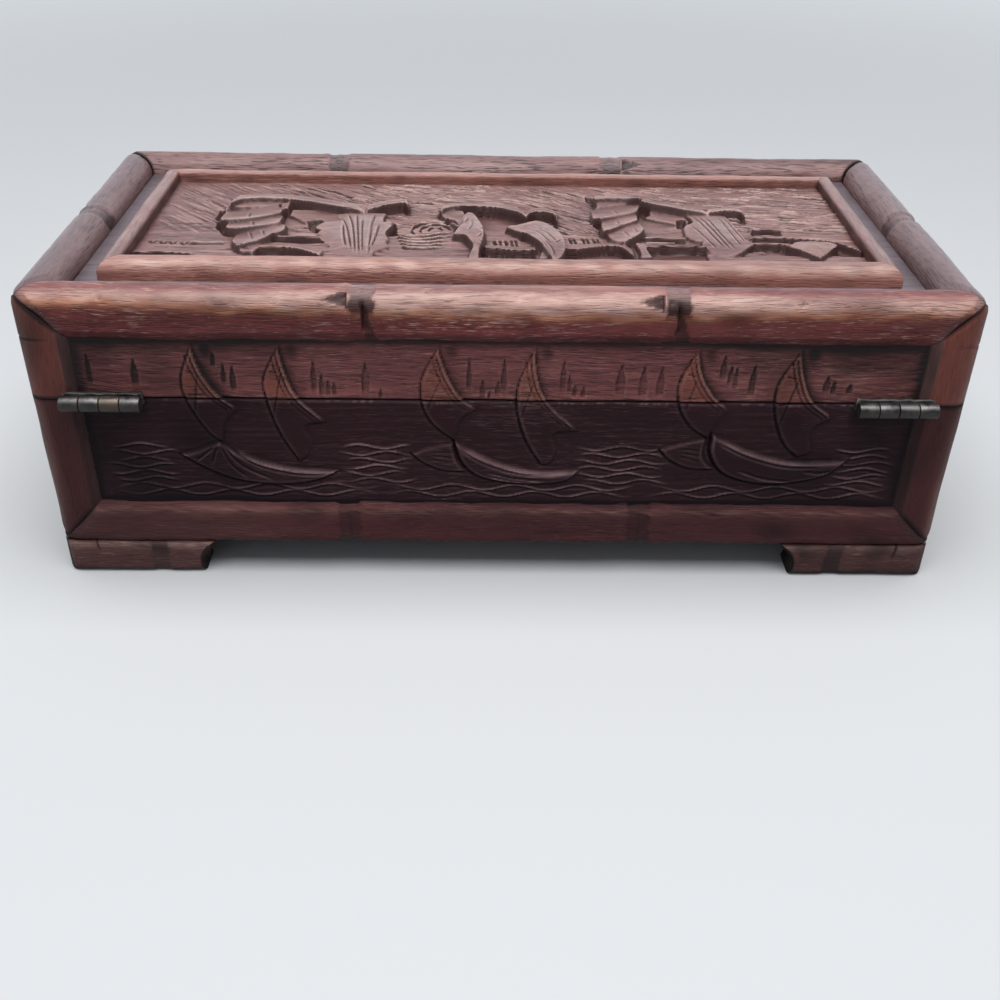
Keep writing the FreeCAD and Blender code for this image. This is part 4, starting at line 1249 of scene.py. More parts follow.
def carve_small_marks(carving):
    """Birds, people on the decks, distant banks and curls of water."""
    for x, y in ((-109, 44), (-105.6, 43.8), (-102.6, 43.6), (-99, 43.2)):
        carving.stroke(laid([(x - 1.1, y + 1), (x, y - 0.6), (x + 1.1, y + 1)], SKY), 0.7, 0.8, 0.9, fade=False)
    for x in (-2.2, -0.4, 1.4, 3.2, 4.6, 21.8, 23.2, 26, 27.4, 29.4, 30.8):
        top, bottom = (49, 45) if x < 10 else (51.6, 47)
        carving.stroke(laid([(x, top), (x + 0.4, bottom)], -3), 0.8, 0.6, 0.95, fade=False)
    for x in (-1.4, 2.4, 22.6, 26.8, 30.2):
        top, bottom = (47.6, 46) if x < 10 else (50.6, 48.4)
        carving.stroke(laid([(x - 0.9, top), (x + 0.9, bottom)], -3), 0.7, 0.6, 0.9, fade=False)
    for depth, width, stain, line in CUTS:
        carving.stroke(laid(line, SKY), depth, width, stain)
    for radius in (1.3, 2.9, 4.5):
        turns = np.linspace(0.1, 3.4 + 0.1 * radius, 9)
        arc = [(-21 + 1.7 * radius * math.cos(a), 56 + 1.3 * radius * math.sin(a)) for a in turns]
        carve_curl(carving, arc, SKY, 0.95, 0.9, 1.2)
    for n in range(5):
        arc = [(-34.4 + n * 0.9, 52 - n * 2.6), (-30, 49.6 - n * 2.4), (-24, 49.8 - n * 2.7),
               (-15.6 - n * 0.5, 53.4 - n * 3.2)]
        carve_curl(carving, arc, WATER, 0.85, 0.85, 1.1)


def picture_carving(step):
    """The picture, from its ground up to the sails."""
    half, near_edge, far_edge = PICTURE
    spare = 0.2
    carving = Carving(-half - spare, half + spare, near_edge - spare, far_edge + spare, step, 53)
    flat = np.column_stack([carving.across.ravel(), carving.up.ravel()])
    ground = SKY + (WATER - SKY) * ease((66 - carving.up) / 14)
    broad, fine = (wander(flat, size, seed).reshape(ground.shape) for size, seed in ((15, 51), (4, 52)))
    carving.rise += ground + 0.16 * broad + 0.06 * fine
    carve_sky(carving)
    for pocket in POCKETS:
        carving.lift(ring(pocket, POCKET), POCKET, 5.0, start=0.2)
    for read_at, level, wall, lines in FACES:
        carving.lift(outline_of(read_at, lines), level, wall)
    for hollow in HOLLOWS:
        carving.lift(ring(hollow, POCKET), HOLLOW, 1.0, start=0.4)
    for ledge in LEDGES:
        carve_ledge(carving, *ledge)
    for level, lines in BLOCKS:
        carving.lift(outline_of(level, lines), level, EDGE_WALL)
    for lip, breadth in ROOFS:
        carve_roof(carving, lip, breadth)
    for band in RIBBED_SAILS:
        carve_lobe(carving, *band)
    carve_veins(carving, RIBS, -1.4, 0.3)
    carve_maple(carving, *MAPLES[0])
    for leaf in LEAVES:
        carve_leaf(carving, *leaf)
    carve_maple(carving, *MAPLES[1])
    carve_small_marks(carving)
    for x, y, broad in SHEENS:
        # Painted sheen: a pale bluish colour laid on the raised sails where they would catch reflected light
        sheen = 0.8 * np.exp(-((carving.across - x) / broad) ** 2 - ((carving.up - y) / (1.4 * broad)) ** 2)
        carving.warm = np.maximum(carving.warm, sheen * ease((carving.rise + 3.0) / 0.8))
    # Painted shade on the picture where it meets the border
    border = np.minimum(half - np.abs(carving.across), np.minimum(carving.up - near_edge, far_edge - carving.up))
    carving.darken(..., 0.6 * np.exp(-np.maximum(border, 0) / 1.2))
    carving.dark += 0.16 * ease((-carving.across - 70) / 25)
    carving.rise = np.clip(carving.rise, -5.6, -0.3)
    return carving


def seen_from_behind(x, y, z):
    """From millimetres right, away and up, as seen from behind the box, to the part's frame."""
    return np.column_stack([-np.asarray(x), REAR - np.asarray(y), np.asarray(z)]) * MM


def border_bar(name, first, last, across, inner_grime, seed):
    """One side of the raised border round the picture."""
    section = rounded_section([(0, BORDER_FOOT, SHARPER), (0, HEIGHT, 1.0), (BORDER, HEIGHT, 4.0),
                               (BORDER, BORDER_FOOT, SHARPER)], 0.7)
    stops = [first - BORDER, last + BORDER]
    piece = bar(name, section, stops)
    mitre(piece, (first, 0, HEIGHT), (-1, -1, 0))
    mitre(piece, (last, 0, HEIGHT), (1, -1, 0))
    divide(piece, stops, SECTION_STEP)
    skin = Skin(piece, section)
    here = np.column_stack([skin.t, skin.way])
    push = 0.12 * wander(here, 40, seed) + 0.07 * wander(here, 9, seed + 1)
    push += 0.5 * unit(wander(here, 7, seed + 2) - 0.9) * unit(skin.normal.sum(1))
    points = skin.pushed(push)
    points[:, 2] = np.minimum(points[:, 2], HEIGHT)
    low = ease((95.4 - skin.q) / 3.0) * unit(skin.normal[:, 0])
    grime = low * 0.1 + np.clip(wander(here, 20, seed + 3) * 0.2, 0, 0.25)
    # Painted shade on the inner faces that look onto the picture
    inner = unit(-skin.normal[:, 0])
    grime = np.maximum(grime, inner * (inner_grime + 0.1 * wander(here, 11, seed + 5)))
    wear = bell(skin.p - 4.6, 2.4) * (skin.q > 95) * (0.5 + 0.5 * wander(here, 10, seed + 4))
    move_points(piece, across(points))
    face_out(piece)
    paint(piece, grime=grime, wear=wear, above=unit(skin.normal[:, 1]))
    return piece


# Finishes

def socket(group, kind, names, inward):
    for name in names:
        group.interface.new_socket(name, in_out="INPUT" if inward else "OUTPUT", socket_type="NodeSocket" + kind)


class Web:
    """A node tree being wired up."""

    def __init__(self, tree):
        self.tree = tree

    def plug(self, node, links):
        """Set a node's inputs, each to a value or to what another node gives."""
        for key, value in links.items():
            if isinstance(value, bpy.types.NodeSocket):
                self.tree.links.new(value, node.inputs[key])
            else:
                node.inputs[key].default_value = value

    def node(self, kind, links=None, **values):
        made = self.tree.nodes.new(kind)
        for name, value in values.items():
            setattr(made, name, value)
        self.plug(made, links or {})
        return made

    def layer(self, name):
        """A painted layer of the piece."""
        return self.node("ShaderNodeAttribute", attribute_name=name).outputs["Fac"]

    def place(self):
        return self.node("ShaderNodeTexCoord").outputs["Object"]


    def math(self, operation, first, second=0.0, clamp=False):
        return self.node("ShaderNodeMath", {0: first, 1: second}, operation=operation, use_clamp=clamp).outputs[0]

    def mix(self, factor, first, second, blend="MIX"):
        node = self.node("ShaderNodeMix", {0: factor, 6: first, 7: second}, data_type="RGBA", blend_type=blend)
        return node.outputs[2]

    def ramp(self, value, low, high, low_to=0.0, high_to=1.0):
        return self.node("ShaderNodeMapRange", {0: value, 1: low, 2: high, 3: low_to, 4: high_to},
                         interpolation_type="SMOOTHSTEP").outputs[0]

    def noise(self, vector, scale, detail=2.0, rough=0.5, kind="Fac"):
        return self.node("ShaderNodeTexNoise", {"Vector": vector, "Scale": scale, "Detail": detail,
                                                "Roughness": rough}).outputs[kind]

    def stretched(self, vector, scale):
        return self.node("ShaderNodeMapping", {"Vector": vector, "Scale": scale}).outputs[0]


def new_finish(name):
    made = bpy.data.materials.new(name)
    made.use_nodes = True
    return made, Web(made.node_tree), made.node_tree.nodes["Principled BSDF"]


def grain_group():
    """Open-grained hardwood: figure along the first axis, dark pores and fine fibres."""
    group = bpy.data.node_groups.new("hardwood_grain", "ShaderNodeTree")
    socket(group, "Vector", ["Vector"], True)
    socket(group, "Float", ["Figure", "Pores", "Fibre", "Height", "Torn"], False)
    web = Web(group)
    vector = web.node("NodeGroupInput").outputs["Vector"]
    bend = web.noise(web.stretched(vector, (14, 40, 40)), 1.0, 2, kind="Color")
    bent = web.node("ShaderNodeVectorMath", {0: bend, 1: (0.006, 0.006, 0.006)}, operation="MULTIPLY").outputs[0]
    wavy = web.node("ShaderNodeVectorMath", {0: vector, 1: bent}, operation="ADD").outputs[0]
    figure = web.ramp(web.noise(web.stretched(wavy, (11, 210, 210)), 1.0, 4, 0.62), 0.3, 0.7)
    dashes = web.noise(web.stretched(wavy, (150, 2500, 2500)), 1.0, 1.0, 0.5)
    patch = web.noise(web.stretched(wavy, (22, 160, 160)), 1.0, 1.0)
    pores = web.ramp(web.math("ADD", dashes, web.math("MULTIPLY", patch, 0.35)), 0.70, 0.86)
    fibre = web.noise(web.stretched(wavy, (230, 3400, 3400)), 1.0, 3, 0.65)
    height = web.math("SUBTRACT", web.math("MULTIPLY", fibre, 0.7), pores)
    torn = web.noise(web.stretched(wavy, (190, 2700, 2700)), 1.0, 2.0, 0.6)
    rough_patch = web.noise(web.stretched(wavy, (25, 70, 70)), 1.0, 3.0, 0.6)
    torn = web.ramp(web.math("ADD", torn, web.math("MULTIPLY", rough_patch, 0.5)), 0.82, 1.0)
    web.node("NodeGroupOutput", {"Figure": figure, "Pores": pores, "Fibre": fibre, "Height": height, "Torn": torn})
    return group


def age_group():
    """Old handled wood: soiling and painted shade in the hollows, pale abraded edges and painted highlights, scuffs
    and specks.
    """
    group = bpy.data.node_groups.new("handled_finish", "ShaderNodeTree")
    socket(group, "Vector", ["Vector"], True)
    socket(group, "Color", ["Wood", "Rubbed", "Dirt"], True)
    socket(group, "Float", ["Grime", "Wear", "Pores", "Rough", "Specks"], True)
    socket(group, "Color", ["Colour"], False)
    socket(group, "Float", ["Roughness"], False)
    web = Web(group)
    given = web.node("NodeGroupInput").outputs
    cloud = web.noise(given["Vector"], 55, 4, 0.6)
    blotch = web.noise(given["Vector"], 260, 3, 0.6)
    rubbing = web.math("MULTIPLY", given["Wear"], web.ramp(blotch, 0.25, 0.7, 0.35, 1.0))
    colour = web.mix(rubbing, given["Wood"], given["Rubbed"])
    colour = web.mix(web.ramp(cloud, 0.35, 0.75, 0.0, 0.42), colour, given["Dirt"])
    dirt = web.math("ADD", given["Grime"], web.math("MULTIPLY", web.math("SUBTRACT", blotch, 0.5), 0.3))
    dirt = web.math("MULTIPLY", web.ramp(dirt, 0.05, 0.95), web.ramp(given["Grime"], 0.0, 0.15))
    colour = web.mix(dirt, colour, given["Dirt"])
    colour = web.mix(web.math("MULTIPLY", given["Pores"], 0.75), colour, given["Dirt"])
    speck = web.ramp(web.noise(given["Vector"], 900, 1, 0.5), 0.74, 0.8)
    speck = web.math("MULTIPLY", web.math("MULTIPLY", speck, web.ramp(cloud, 0.5, 0.7)), given["Specks"])
    colour = web.mix(speck, colour, (0.42, 0.36, 0.33, 1))
    rough = web.math("ADD", given["Rough"], web.math("MULTIPLY", given["Grime"], 0.22))
    rough = web.math("SUBTRACT", rough, web.math("MULTIPLY", rubbing, 0.12))
    rough = web.math("ADD", rough, web.math("MULTIPLY", web.math("SUBTRACT", blotch, 0.5), 0.2), True)
    web.node("NodeGroupOutput", {"Colour": colour, "Roughness": rough})
    return group


GRAIN = grain_group()
AGE = age_group()
TURNS = {"x": (0, 0, 0), "y": (0, 0, math.radians(90)), "z": (0, math.radians(90), 0)}


def wood(name, grain, deep, light, rubbed, dirt, rough=0.45, warm=None, scraped=None, pores=0.7, specks=0.0, bump=0.5,
         gloss=0.2, polish=0.0, contrast=1.0, torn=0.55, glow=None):
    """An oiled hardwood finish; grain is the axis that it runs along."""
    made, web, shader = new_finish(name)
    place = web.place()
    turned = web.node("ShaderNodeMapping", {"Vector": place, "Rotation": TURNS[grain]}).outputs[0]
    grains = web.node("ShaderNodeGroup", {"Vector": turned}, node_tree=GRAIN).outputs
    tone = web.math("ADD", web.math("MULTIPLY", grains["Figure"], 0.55),
                    web.ramp(grains["Fibre"], 0.25, 0.75, -0.1, 0.55), True)
    tone = web.math("ADD", web.math("MULTIPLY", tone, contrast), 0.5 - 0.5 * contrast)
    colour = web.mix(tone, (*deep, 1), (*light, 1))
    for layer, layer_colour, share in (("warm", warm, 0.6), ("scraped", scraped, 0.65)):
        if layer_colour:
            colour = web.mix(web.math("MULTIPLY", web.layer(layer), share), colour, (*layer_colour, 1))
    bare = (*rubbed, 1)
    colour = web.mix(web.math("MULTIPLY", grains["Torn"], torn), colour, bare)
    if glow:
        bare = web.mix(web.math("MULTIPLY", web.layer("warm"), 0.8), bare, (*glow, 1))
    age = web.node("ShaderNodeGroup", {
        "Vector": web.stretched(turned, (0.22, 1, 1)), "Wood": colour, "Rubbed": bare, "Dirt": (*dirt, 1),
        "Grime": web.layer("grime"), "Wear": web.layer("wear"), "Rough": rough, "Specks": specks,
        "Pores": web.math("MULTIPLY", grains["Pores"], pores)}, node_tree=AGE).outputs
    lump = web.noise(place, 420, 3, 0.6)
    height = web.math("ADD", grains["Height"], web.math("MULTIPLY", lump, 0.5))
    relief = web.node("ShaderNodeBump", {"Strength": bump, "Distance": 0.0004, "Height": height}).outputs[0]
    web.plug(shader, {"Base Color": age["Colour"], "Roughness": age["Roughness"], "Normal": relief,
                      "Specular IOR Level": gloss})
    if polish:
        web.plug(shader, {"Coat Weight": web.math("MULTIPLY", web.layer("above"), polish), "Coat Roughness": 0.38})
    return made


def wood_both_ways(name, *colours, **values):
    """The same finish for members along the length and along the depth of the box."""
    return {axis: wood(name + "_along_" + axis, axis, *colours, **values) for axis in "xy"}


# Dark colours mixed in by the grime layer, for soiling and for painted shade
DIRT = (0.020, 0.0115, 0.0115)
BORDER_DIRT = (0.05, 0.022, 0.019)
GREY_SCRAPE = (0.20, 0.125, 0.12)
lid_frame_wood = {
    "x": wood("lid_rail_wood", "x", (0.145, 0.026, 0.025), (0.35, 0.090, 0.084), (1.0, 0.63, 0.53),
              (0.040, 0.0135, 0.012), 0.42, warm=(0.48, 0.18, 0.085), scraped=(0.25, 0.155, 0.16), polish=0.6,
              torn=0.6, pores=0.5, glow=(0.84, 0.32, 0.15)),
    # The side rails' wood is greyer and bluer: wood colour with a painted bluish reflection mixed in
    "y": wood("lid_side_rail_wood", "y", (0.108, 0.050, 0.051), (0.24, 0.138, 0.142), (0.33, 0.205, 0.198), DIRT,
              0.42, scraped=GREY_SCRAPE, polish=1.0),
    "z": wood("lid_post_wood", "z", (0.17, 0.042, 0.031), (0.31, 0.097, 0.069), (0.48, 0.22, 0.17), DIRT, 0.42,
              scraped=GREY_SCRAPE, pores=0.2, contrast=0.5, torn=0.15),
}
front_rail_wood = wood("lid_front_rail_wood", "x", (0.17, 0.074, 0.070), (0.35, 0.18, 0.165), (0.60, 0.40, 0.38),
                       DIRT, 0.42, scraped=(0.20, 0.16, 0.17), polish=0.4, torn=0.3, pores=1.0)
base_frame_wood = wood_both_ways("base_rail_wood", (0.064, 0.0168, 0.019), (0.168, 0.052, 0.055),
                                 (0.38, 0.19, 0.155), DIRT, 0.45, scraped=(0.10, 0.055, 0.052), pores=0.3,
                                 contrast=0.7, torn=0.3, gloss=0.14)
base_frame_wood["z"] = wood("base_post_wood", "z", (0.060, 0.015, 0.0155), (0.138, 0.041, 0.038), (0.30, 0.14, 0.115),
                            DIRT, 0.45, scraped=(0.08, 0.043, 0.04), pores=0.2, contrast=0.5, torn=0.15, gloss=0.14)
lid_panel_wood = wood_both_ways("lid_panel_wood", (0.19, 0.056, 0.056), (0.39, 0.130, 0.122), (0.52, 0.27, 0.22),
                                DIRT, 0.48, warm=(0.36, 0.105, 0.062), specks=0.9, torn=0.8, pores=0.7, bump=0.7)
base_panel_wood = wood_both_ways("base_panel_wood", (0.022, 0.0075, 0.0098), (0.052, 0.0190, 0.0235),
                                 (0.38, 0.222, 0.230), (0.009, 0.005, 0.0065), 0.42, warm=(0.14, 0.05, 0.04),
                                 specks=0.6, pores=0.2, contrast=0.45, torn=0.2, gloss=0.1, bump=0.3)
# The picture's warm colour is the pale bluish grey of its painted sheen
picture_wood = wood("picture_wood", "x", (0.20, 0.096, 0.088), (0.39, 0.212, 0.196), (0.74, 0.48, 0.415),
                    (0.058, 0.021, 0.0185), 0.45, warm=(0.54, 0.42, 0.41), polish=0.5, pores=0.5, torn=0.35)
border_wood = {
    "x": wood("border_wood_along_x", "x", (0.29, 0.112, 0.088), (0.54, 0.250, 0.20), (0.72, 0.45, 0.37), BORDER_DIRT,
              0.42, polish=0.9, pores=0.5),
    "y": wood("border_wood_along_y", "y", (0.23, 0.098, 0.085), (0.42, 0.210, 0.19), (0.56, 0.36, 0.32), BORDER_DIRT,
              0.42, polish=0.9, pores=0.5),
}
gutter_wood = wood("gutter_wood", "x", (0.18, 0.128, 0.15), (0.29, 0.215, 0.245), (0.33, 0.245, 0.26),
                   (0.03, 0.02, 0.02), 0.5, polish=1.0, contrast=0.6)
foot_wood = wood_both_ways("foot_wood", (0.105, 0.040, 0.036), (0.25, 0.107, 0.096), (0.54, 0.335, 0.28), DIRT, 0.5,
                           scraped=(0.12, 0.07, 0.065), pores=0.4, contrast=0.8)
inside_wood = wood_both_ways("inside_wood", (0.15, 0.068, 0.046), (0.27, 0.142, 0.098), (0.3, 0.18, 0.13),
                             (0.03, 0.018, 0.014), 0.6)


def old_steel():
    """Dark hinge steel with a brassy cast, painted highlights and painted shade."""
    made, web, shader = new_finish("old_hinge_steel")
    place = web.place()
    patch = web.noise(place, 330, 4, 0.6)
    fine = web.noise(web.stretched(place, (900, 5200, 5200)), 1.0, 2)
    grime = web.layer("grime")
    bright = web.math("MULTIPLY", web.layer("wear"), web.ramp(patch, 0.3, 0.62, 0.45, 1.0))
    colour = web.mix(web.ramp(patch, 0.35, 0.65), (0.020, 0.018, 0.019, 1), (0.060, 0.054, 0.052, 1))
    colour = web.mix(bright, colour, (0.36, 0.335, 0.32, 1))
    colour = web.mix(web.layer("warm"), colour, (0.20, 0.125, 0.06, 1))
    colour = web.mix(grime, colour, (0.03, 0.024, 0.022, 1))
    rough = web.math("ADD", web.ramp(patch, 0.3, 0.7, 0.32, 0.52), web.math("MULTIPLY", fine, 0.12))
    lumps = web.math("ADD", fine, patch)
    relief = web.node("ShaderNodeBump", {"Strength": 0.25, "Distance": 0.0003, "Height": lumps})
    web.plug(shader, {"Base Color": colour, "Roughness": rough, "Metallic": web.ramp(grime, 0.1, 0.9, 0.92, 0.2),
                      "Normal": relief.outputs[0]})
    return made


STEEL = old_steel()


# Frame of the box

LONG_NODES = {("lid", "rear"): [-40.0, 50.3], ("lid", "front"): [-41.5, 59.4],
              ("base", "rear"): [-47.4, 44.2], ("base", "front"): [-44.0, 46.0]}
SHORT_NODES = [1.0]
# Pieces made darker all over, by these amounts
SOILED = {("lid", "right"): 0.12, ("lid", "rear_right"): 0.26, ("base", "rear_left"): 0.18}
seed = 100
for wall_name, side in sides.items():
    for top in (True, False):
        body = "lid" if top else "base"
        frame_woods = lid_frame_wood if top else base_frame_wood
        front_top = top and wall_name == "front"
        nodes = LONG_NODES.get((body, wall_name), SHORT_NODES)
        seed += 10
        soiled = SOILED.get((body, wall_name), 0.0)
        chip_at = (9.0, 1.6) if wall_name == "front" else (1.6, 2.4)
        chipped = [] if not top else nodes[:1] if front_top else nodes
        piece = rail(f"{body}_{wall_name}_bamboo_rail", side, top, nodes, chipped, chip_at, soiled, seed)
        rail_wood = front_rail_wood if front_top else frame_woods[side.grain]
        finish_piece(piece, body, [f"{body}_rail_{wall_name}"], rail_wood)
        corner = corner_at_right_end[wall_name]
        piece = post(f"{body}_{corner}_corner_post", side, top, SOILED.get((body, corner), 0.0), seed + 5)
        finish_piece(piece, body, [f"{body}_post_{corner}"], frame_woods["z"])
    for end, corners in ((1, corner_at_right_end), (-1, corner_at_left_end)):
        kind = "long" if side.half == HALF_LENGTH else "short"
        node = f"foot_{corners[wall_name]}_{kind}"
        seed += 3
        piece = foot(f"{node}_strip", side, end, FOOT_LENGTHS[kind], 0.32 if end > 0 else 0.0, seed)
        finish_piece(piece, "base", [node], foot_wood[side.grain])

# Carved wall panels

first, second, third = JUNKS
panel_junks = {
    "rear": [(first, 0), (second, 0), (third, 0)],
    "front": [(third, -77.5 - 72.0), (first, 73.4), (second, 75.0)],
    "left": [(second, 1.25)],
    "right": [(third, -78.5)],
}
for wall_name, side in sides.items():
    rear = wall_name == "rear"
    reeds = REEDS if rear else [(8.0 - x, top, bottom, width) for x, top, bottom, width in REEDS]
    for lid in (True, False):
        body = "lid" if lid else "base"
        seed += 20
        piece = wall_panel(f"{body}_{wall_name}_carved_panel", side, lid, panel_junks[wall_name], reeds,
                           REAR_PANEL_STEP if rear else PANEL_STEP, seed)
        finish = (lid_panel_wood if lid else base_panel_wood)[side.grain]
        finish_piece(piece, body, [f"{body}_panel_{wall_name}"], finish, 55)
        piece.data.materials.append(inside_wood[side.grain])

# Top of the lid: the carved picture, and the board with its raised border


def picture_back(points):
    back_points = points.copy()
    back_points[:, 2] = PICTURE_BACK * MM
    return back_points


def joined(name, parts):
    """Several shapes made one piece."""
    take(parts[0])
    for part in parts[1:]:
        part.select_set(True)
    bpy.ops.object.join()
    parts[0].name = name
    return parts[0]


half_x, near_y, far_y = PICTURE
# The picture leans on painted shade: weights for soiling in hollows, for shut-in ground and for steep walls
picture = picture_carving(PICTURE_STEP).sheet(
    "lid_carved_top", lambda x, y, rise: seen_from_behind(x, y, HEIGHT + rise), picture_back, (0.35, 0.85, 0.95), 1.0)
take(picture)
thinner = picture.modifiers.new("fewer_faces", "DECIMATE")
thinner.ratio = 0.68
bpy.ops.object.modifier_apply(modifier="fewer_faces")
borders = []
for name, first_end, last_end, across, axis in (
        ("near", -half_x, half_x, lambda k: seen_from_behind(k[:, 0], near_y - k[:, 1], k[:, 2]), "x"),
        ("far", -half_x, half_x, lambda k: seen_from_behind(k[:, 0], far_y + k[:, 1], k[:, 2]), "x"),
        ("west", near_y, far_y, lambda k: seen_from_behind(-half_x - k[:, 1], k[:, 0], k[:, 2]), "y"),
        ("east", near_y, far_y, lambda k: seen_from_behind(half_x + k[:, 1], k[:, 0], k[:, 2]), "y")):
    seed += 7
    strip = border_bar("border_" + name, first_end, last_end, across, 0.32 if axis == "x" else 0.62, seed)
    strip.data.materials.append(border_wood[axis])
    borders.append(strip)
deselect()
bpy.ops.mesh.primitive_cube_add(size=1, location=(0, MIDDLE * MM, BOARD_MIDDLE * MM),
                                scale=[length * MM for length in BOARD_SIZE])
board = added("board")
with editing(board):
    bpy.ops.mesh.bevel(offset=0.4 * MM, segments=2, affect="EDGES")
    bpy.ops.mesh.subdivide(number_cuts=12)
spots = points_of(board) / MM
near_frame = np.minimum(BOARD_SIZE[0] / 2 - np.abs(spots[:, 0]), BOARD_SIZE[1] / 2 - np.abs(spots[:, 1] - MIDDLE))
paint(board, grime=0.55 * np.exp(-np.maximum(near_frame, 0) / 3) * (spots[:, 2] > 90), wear=0 * near_frame,
      above=(spots[:, 2] > 91.5).astype(float))
for finish in (gutter_wood, inside_wood["x"]):
    board.data.materials.append(finish)
for facet in board.data.polygons:
    facet.material_index = int(facet.normal.z < -0.5)
joined("lid_bordered_board", [board] + borders)
for finish in (picture_wood, inside_wood["x"]):
    picture.data.materials.append(finish)
for piece, angle in ((board, 55), (picture, 38)):
    shade(piece, angle)
    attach(piece, "lid")
    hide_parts("lid_top_panel")


# Hinges, screws and brad

def tube(name, radius, first, last, rim):
    """A round bar on the hinges' axis, with its rims rounded."""
    deselect()
    bpy.ops.mesh.primitive_cylinder_add(vertices=40, radius=radius * MM, depth=(last - first) * MM,
                                        location=((first + last) / 2 * MM, AXIS * MM, SEAM * MM),
                                        rotation=(0, math.radians(90), 0))
    piece = added(name)
    with editing(piece):
        bpy.ops.mesh.select_mode(type="EDGE")
        bpy.ops.mesh.select_all(action="DESELECT")
    ends = edge_ends(piece)[:, :, 0] / MM
    piece.data.edges.foreach_set("select", np.abs(ends[:, 0] - ends[:, 1]) < 1e-3)
    bpy.ops.object.mode_set(mode="EDIT")
    bpy.ops.mesh.bevel(offset=rim * MM, segments=3, affect="EDGES")
    bpy.ops.object.mode_set(mode="OBJECT")
    return piece


def plate(name, low, high, rim):
    """A block between two corners, with its edges bevelled."""
    deselect()
    low, high = np.array(low), np.array(high)
    bpy.ops.mesh.primitive_cube_add(size=1, location=(low + high) / 2 * MM, scale=(high - low) * MM)
    piece = added(name)
    with editing(piece):
        bpy.ops.mesh.bevel(offset=rim * MM, segments=2, affect="EDGES")
    return piece


def cut_out(piece, cutter):
    """Take the shape of a cutter out of a piece."""
    take(piece)
    cut = piece.modifiers.new("cut", "BOOLEAN")
    cut.operation = "DIFFERENCE"
    cut.object = cutter
    bpy.ops.object.modifier_apply(modifier="cut")
    bpy.data.objects.remove(cutter)


BRASSY_KNUCKLE = HINGES["right"] - 0.5 * KNUCKLE
LEAF_ENDS = (55.5, 64.7)
LEAF_THICKNESS = 1.2
LEAF_GAP = 0.13
KNUCKLE_GAP = 0.09
HEAD_HEIGHT = 1.2
HEAD_GAP = 0.67
SLOT_HALF = 0.3
STEEL_ANGLE = 35


def steel_layers(piece, grime_low):
    """Painted highlights along the upper edges outside, painted shade on the lower parts, and cleaner, paler steel
    where the leaves lie on the wood.
    """
    points = points_of(piece) / MM
    outward, height = points[:, 1], points[:, 2] - SEAM
    high = ease((height + 0.2) / 2.4)
    patch = 0.55 + 0.6 * wander(points, 5, 900)
    # Painted highlight: a line along the upper edge of the barrel
    shine = bell(height - 1.9, 0.5) * (outward > 66.2) + 0.5 * (outward < 65.3)
    inside = ease((64.0 - outward) / 1.5)
    brassy = (np.abs(points[:, 0] - BRASSY_KNUCKLE) < KNUCKLE / 2) * (outward > 65)
    paint(piece, wear=patch * (shine * (1 - inside) + 0.4 * inside),
          grime=grime_low * (1 - high) * (1 - inside) + 0.1 * inside, warm=0.3 * brassy)


def crumpled_lip(middle):
    """The bent-over edge of the lid leaf."""
    lip = plate("lip", (middle - 11.8, 63.4, SEAM + 0.6), (middle + 11.8, 64.75, SEAM + 2.3), 0.3)
    with editing(lip):
        bpy.ops.mesh.subdivide(number_cuts=14)
    points = points_of(lip) / MM
    points[:, 2] += 0.3 * wander(points[:, :1], 5, 901) * ease((points[:, 2] - SEAM - 1.4) / 0.8)
    points[:, 1] += 0.12 * wander(points, 3, 902)
    move_points(lip, points * MM)
    return lip


for hinge_name, middle in HINGES.items():
    for turn, body in ((1, "lid"), (-1, "base")):
        face = SEAM + turn * LEAF_GAP
        low, high = sorted((face, face + turn * LEAF_THICKNESS))
        corners = ((middle + end * HINGE_HALF, y, z) for end, y, z in zip((-1, 1), LEAF_ENDS, (low, high)))
        parts = [plate("leaf", *corners, 0.25)]
        for number in range(0 if turn < 0 else 1, 4, 2):
            first = middle - HINGE_HALF + number * KNUCKLE + KNUCKLE_GAP
            last = first + KNUCKLE - 2 * KNUCKLE_GAP
            parts.append(tube("knuckle", KNUCKLE_RADIUS, first, last, 0.3))
            parts.append(plate("web", (first + 0.1, 64.0, low), (last - 0.1, AXIS - 0.4, high), 0.2))
        if turn > 0:
            parts.append(crumpled_lip(middle))
        leaf = joined(f"hinge_{hinge_name}_{body}_rolled_leaf", parts)
        steel_layers(leaf, 0.55)
        finish_piece(leaf, body, [f"hinge_{hinge_name}_{body}_leaf"], STEEL, STEEL_ANGLE)
    pin = tube(f"hinge_{hinge_name}_headed_pin", PIN_RADIUS, middle - 11.82, middle + 11.82, 0.4)
    steel_layers(pin, 0.8)
    finish_piece(pin, "base", [f"hinge_{hinge_name}_pin"], STEEL, STEEL_ANGLE)

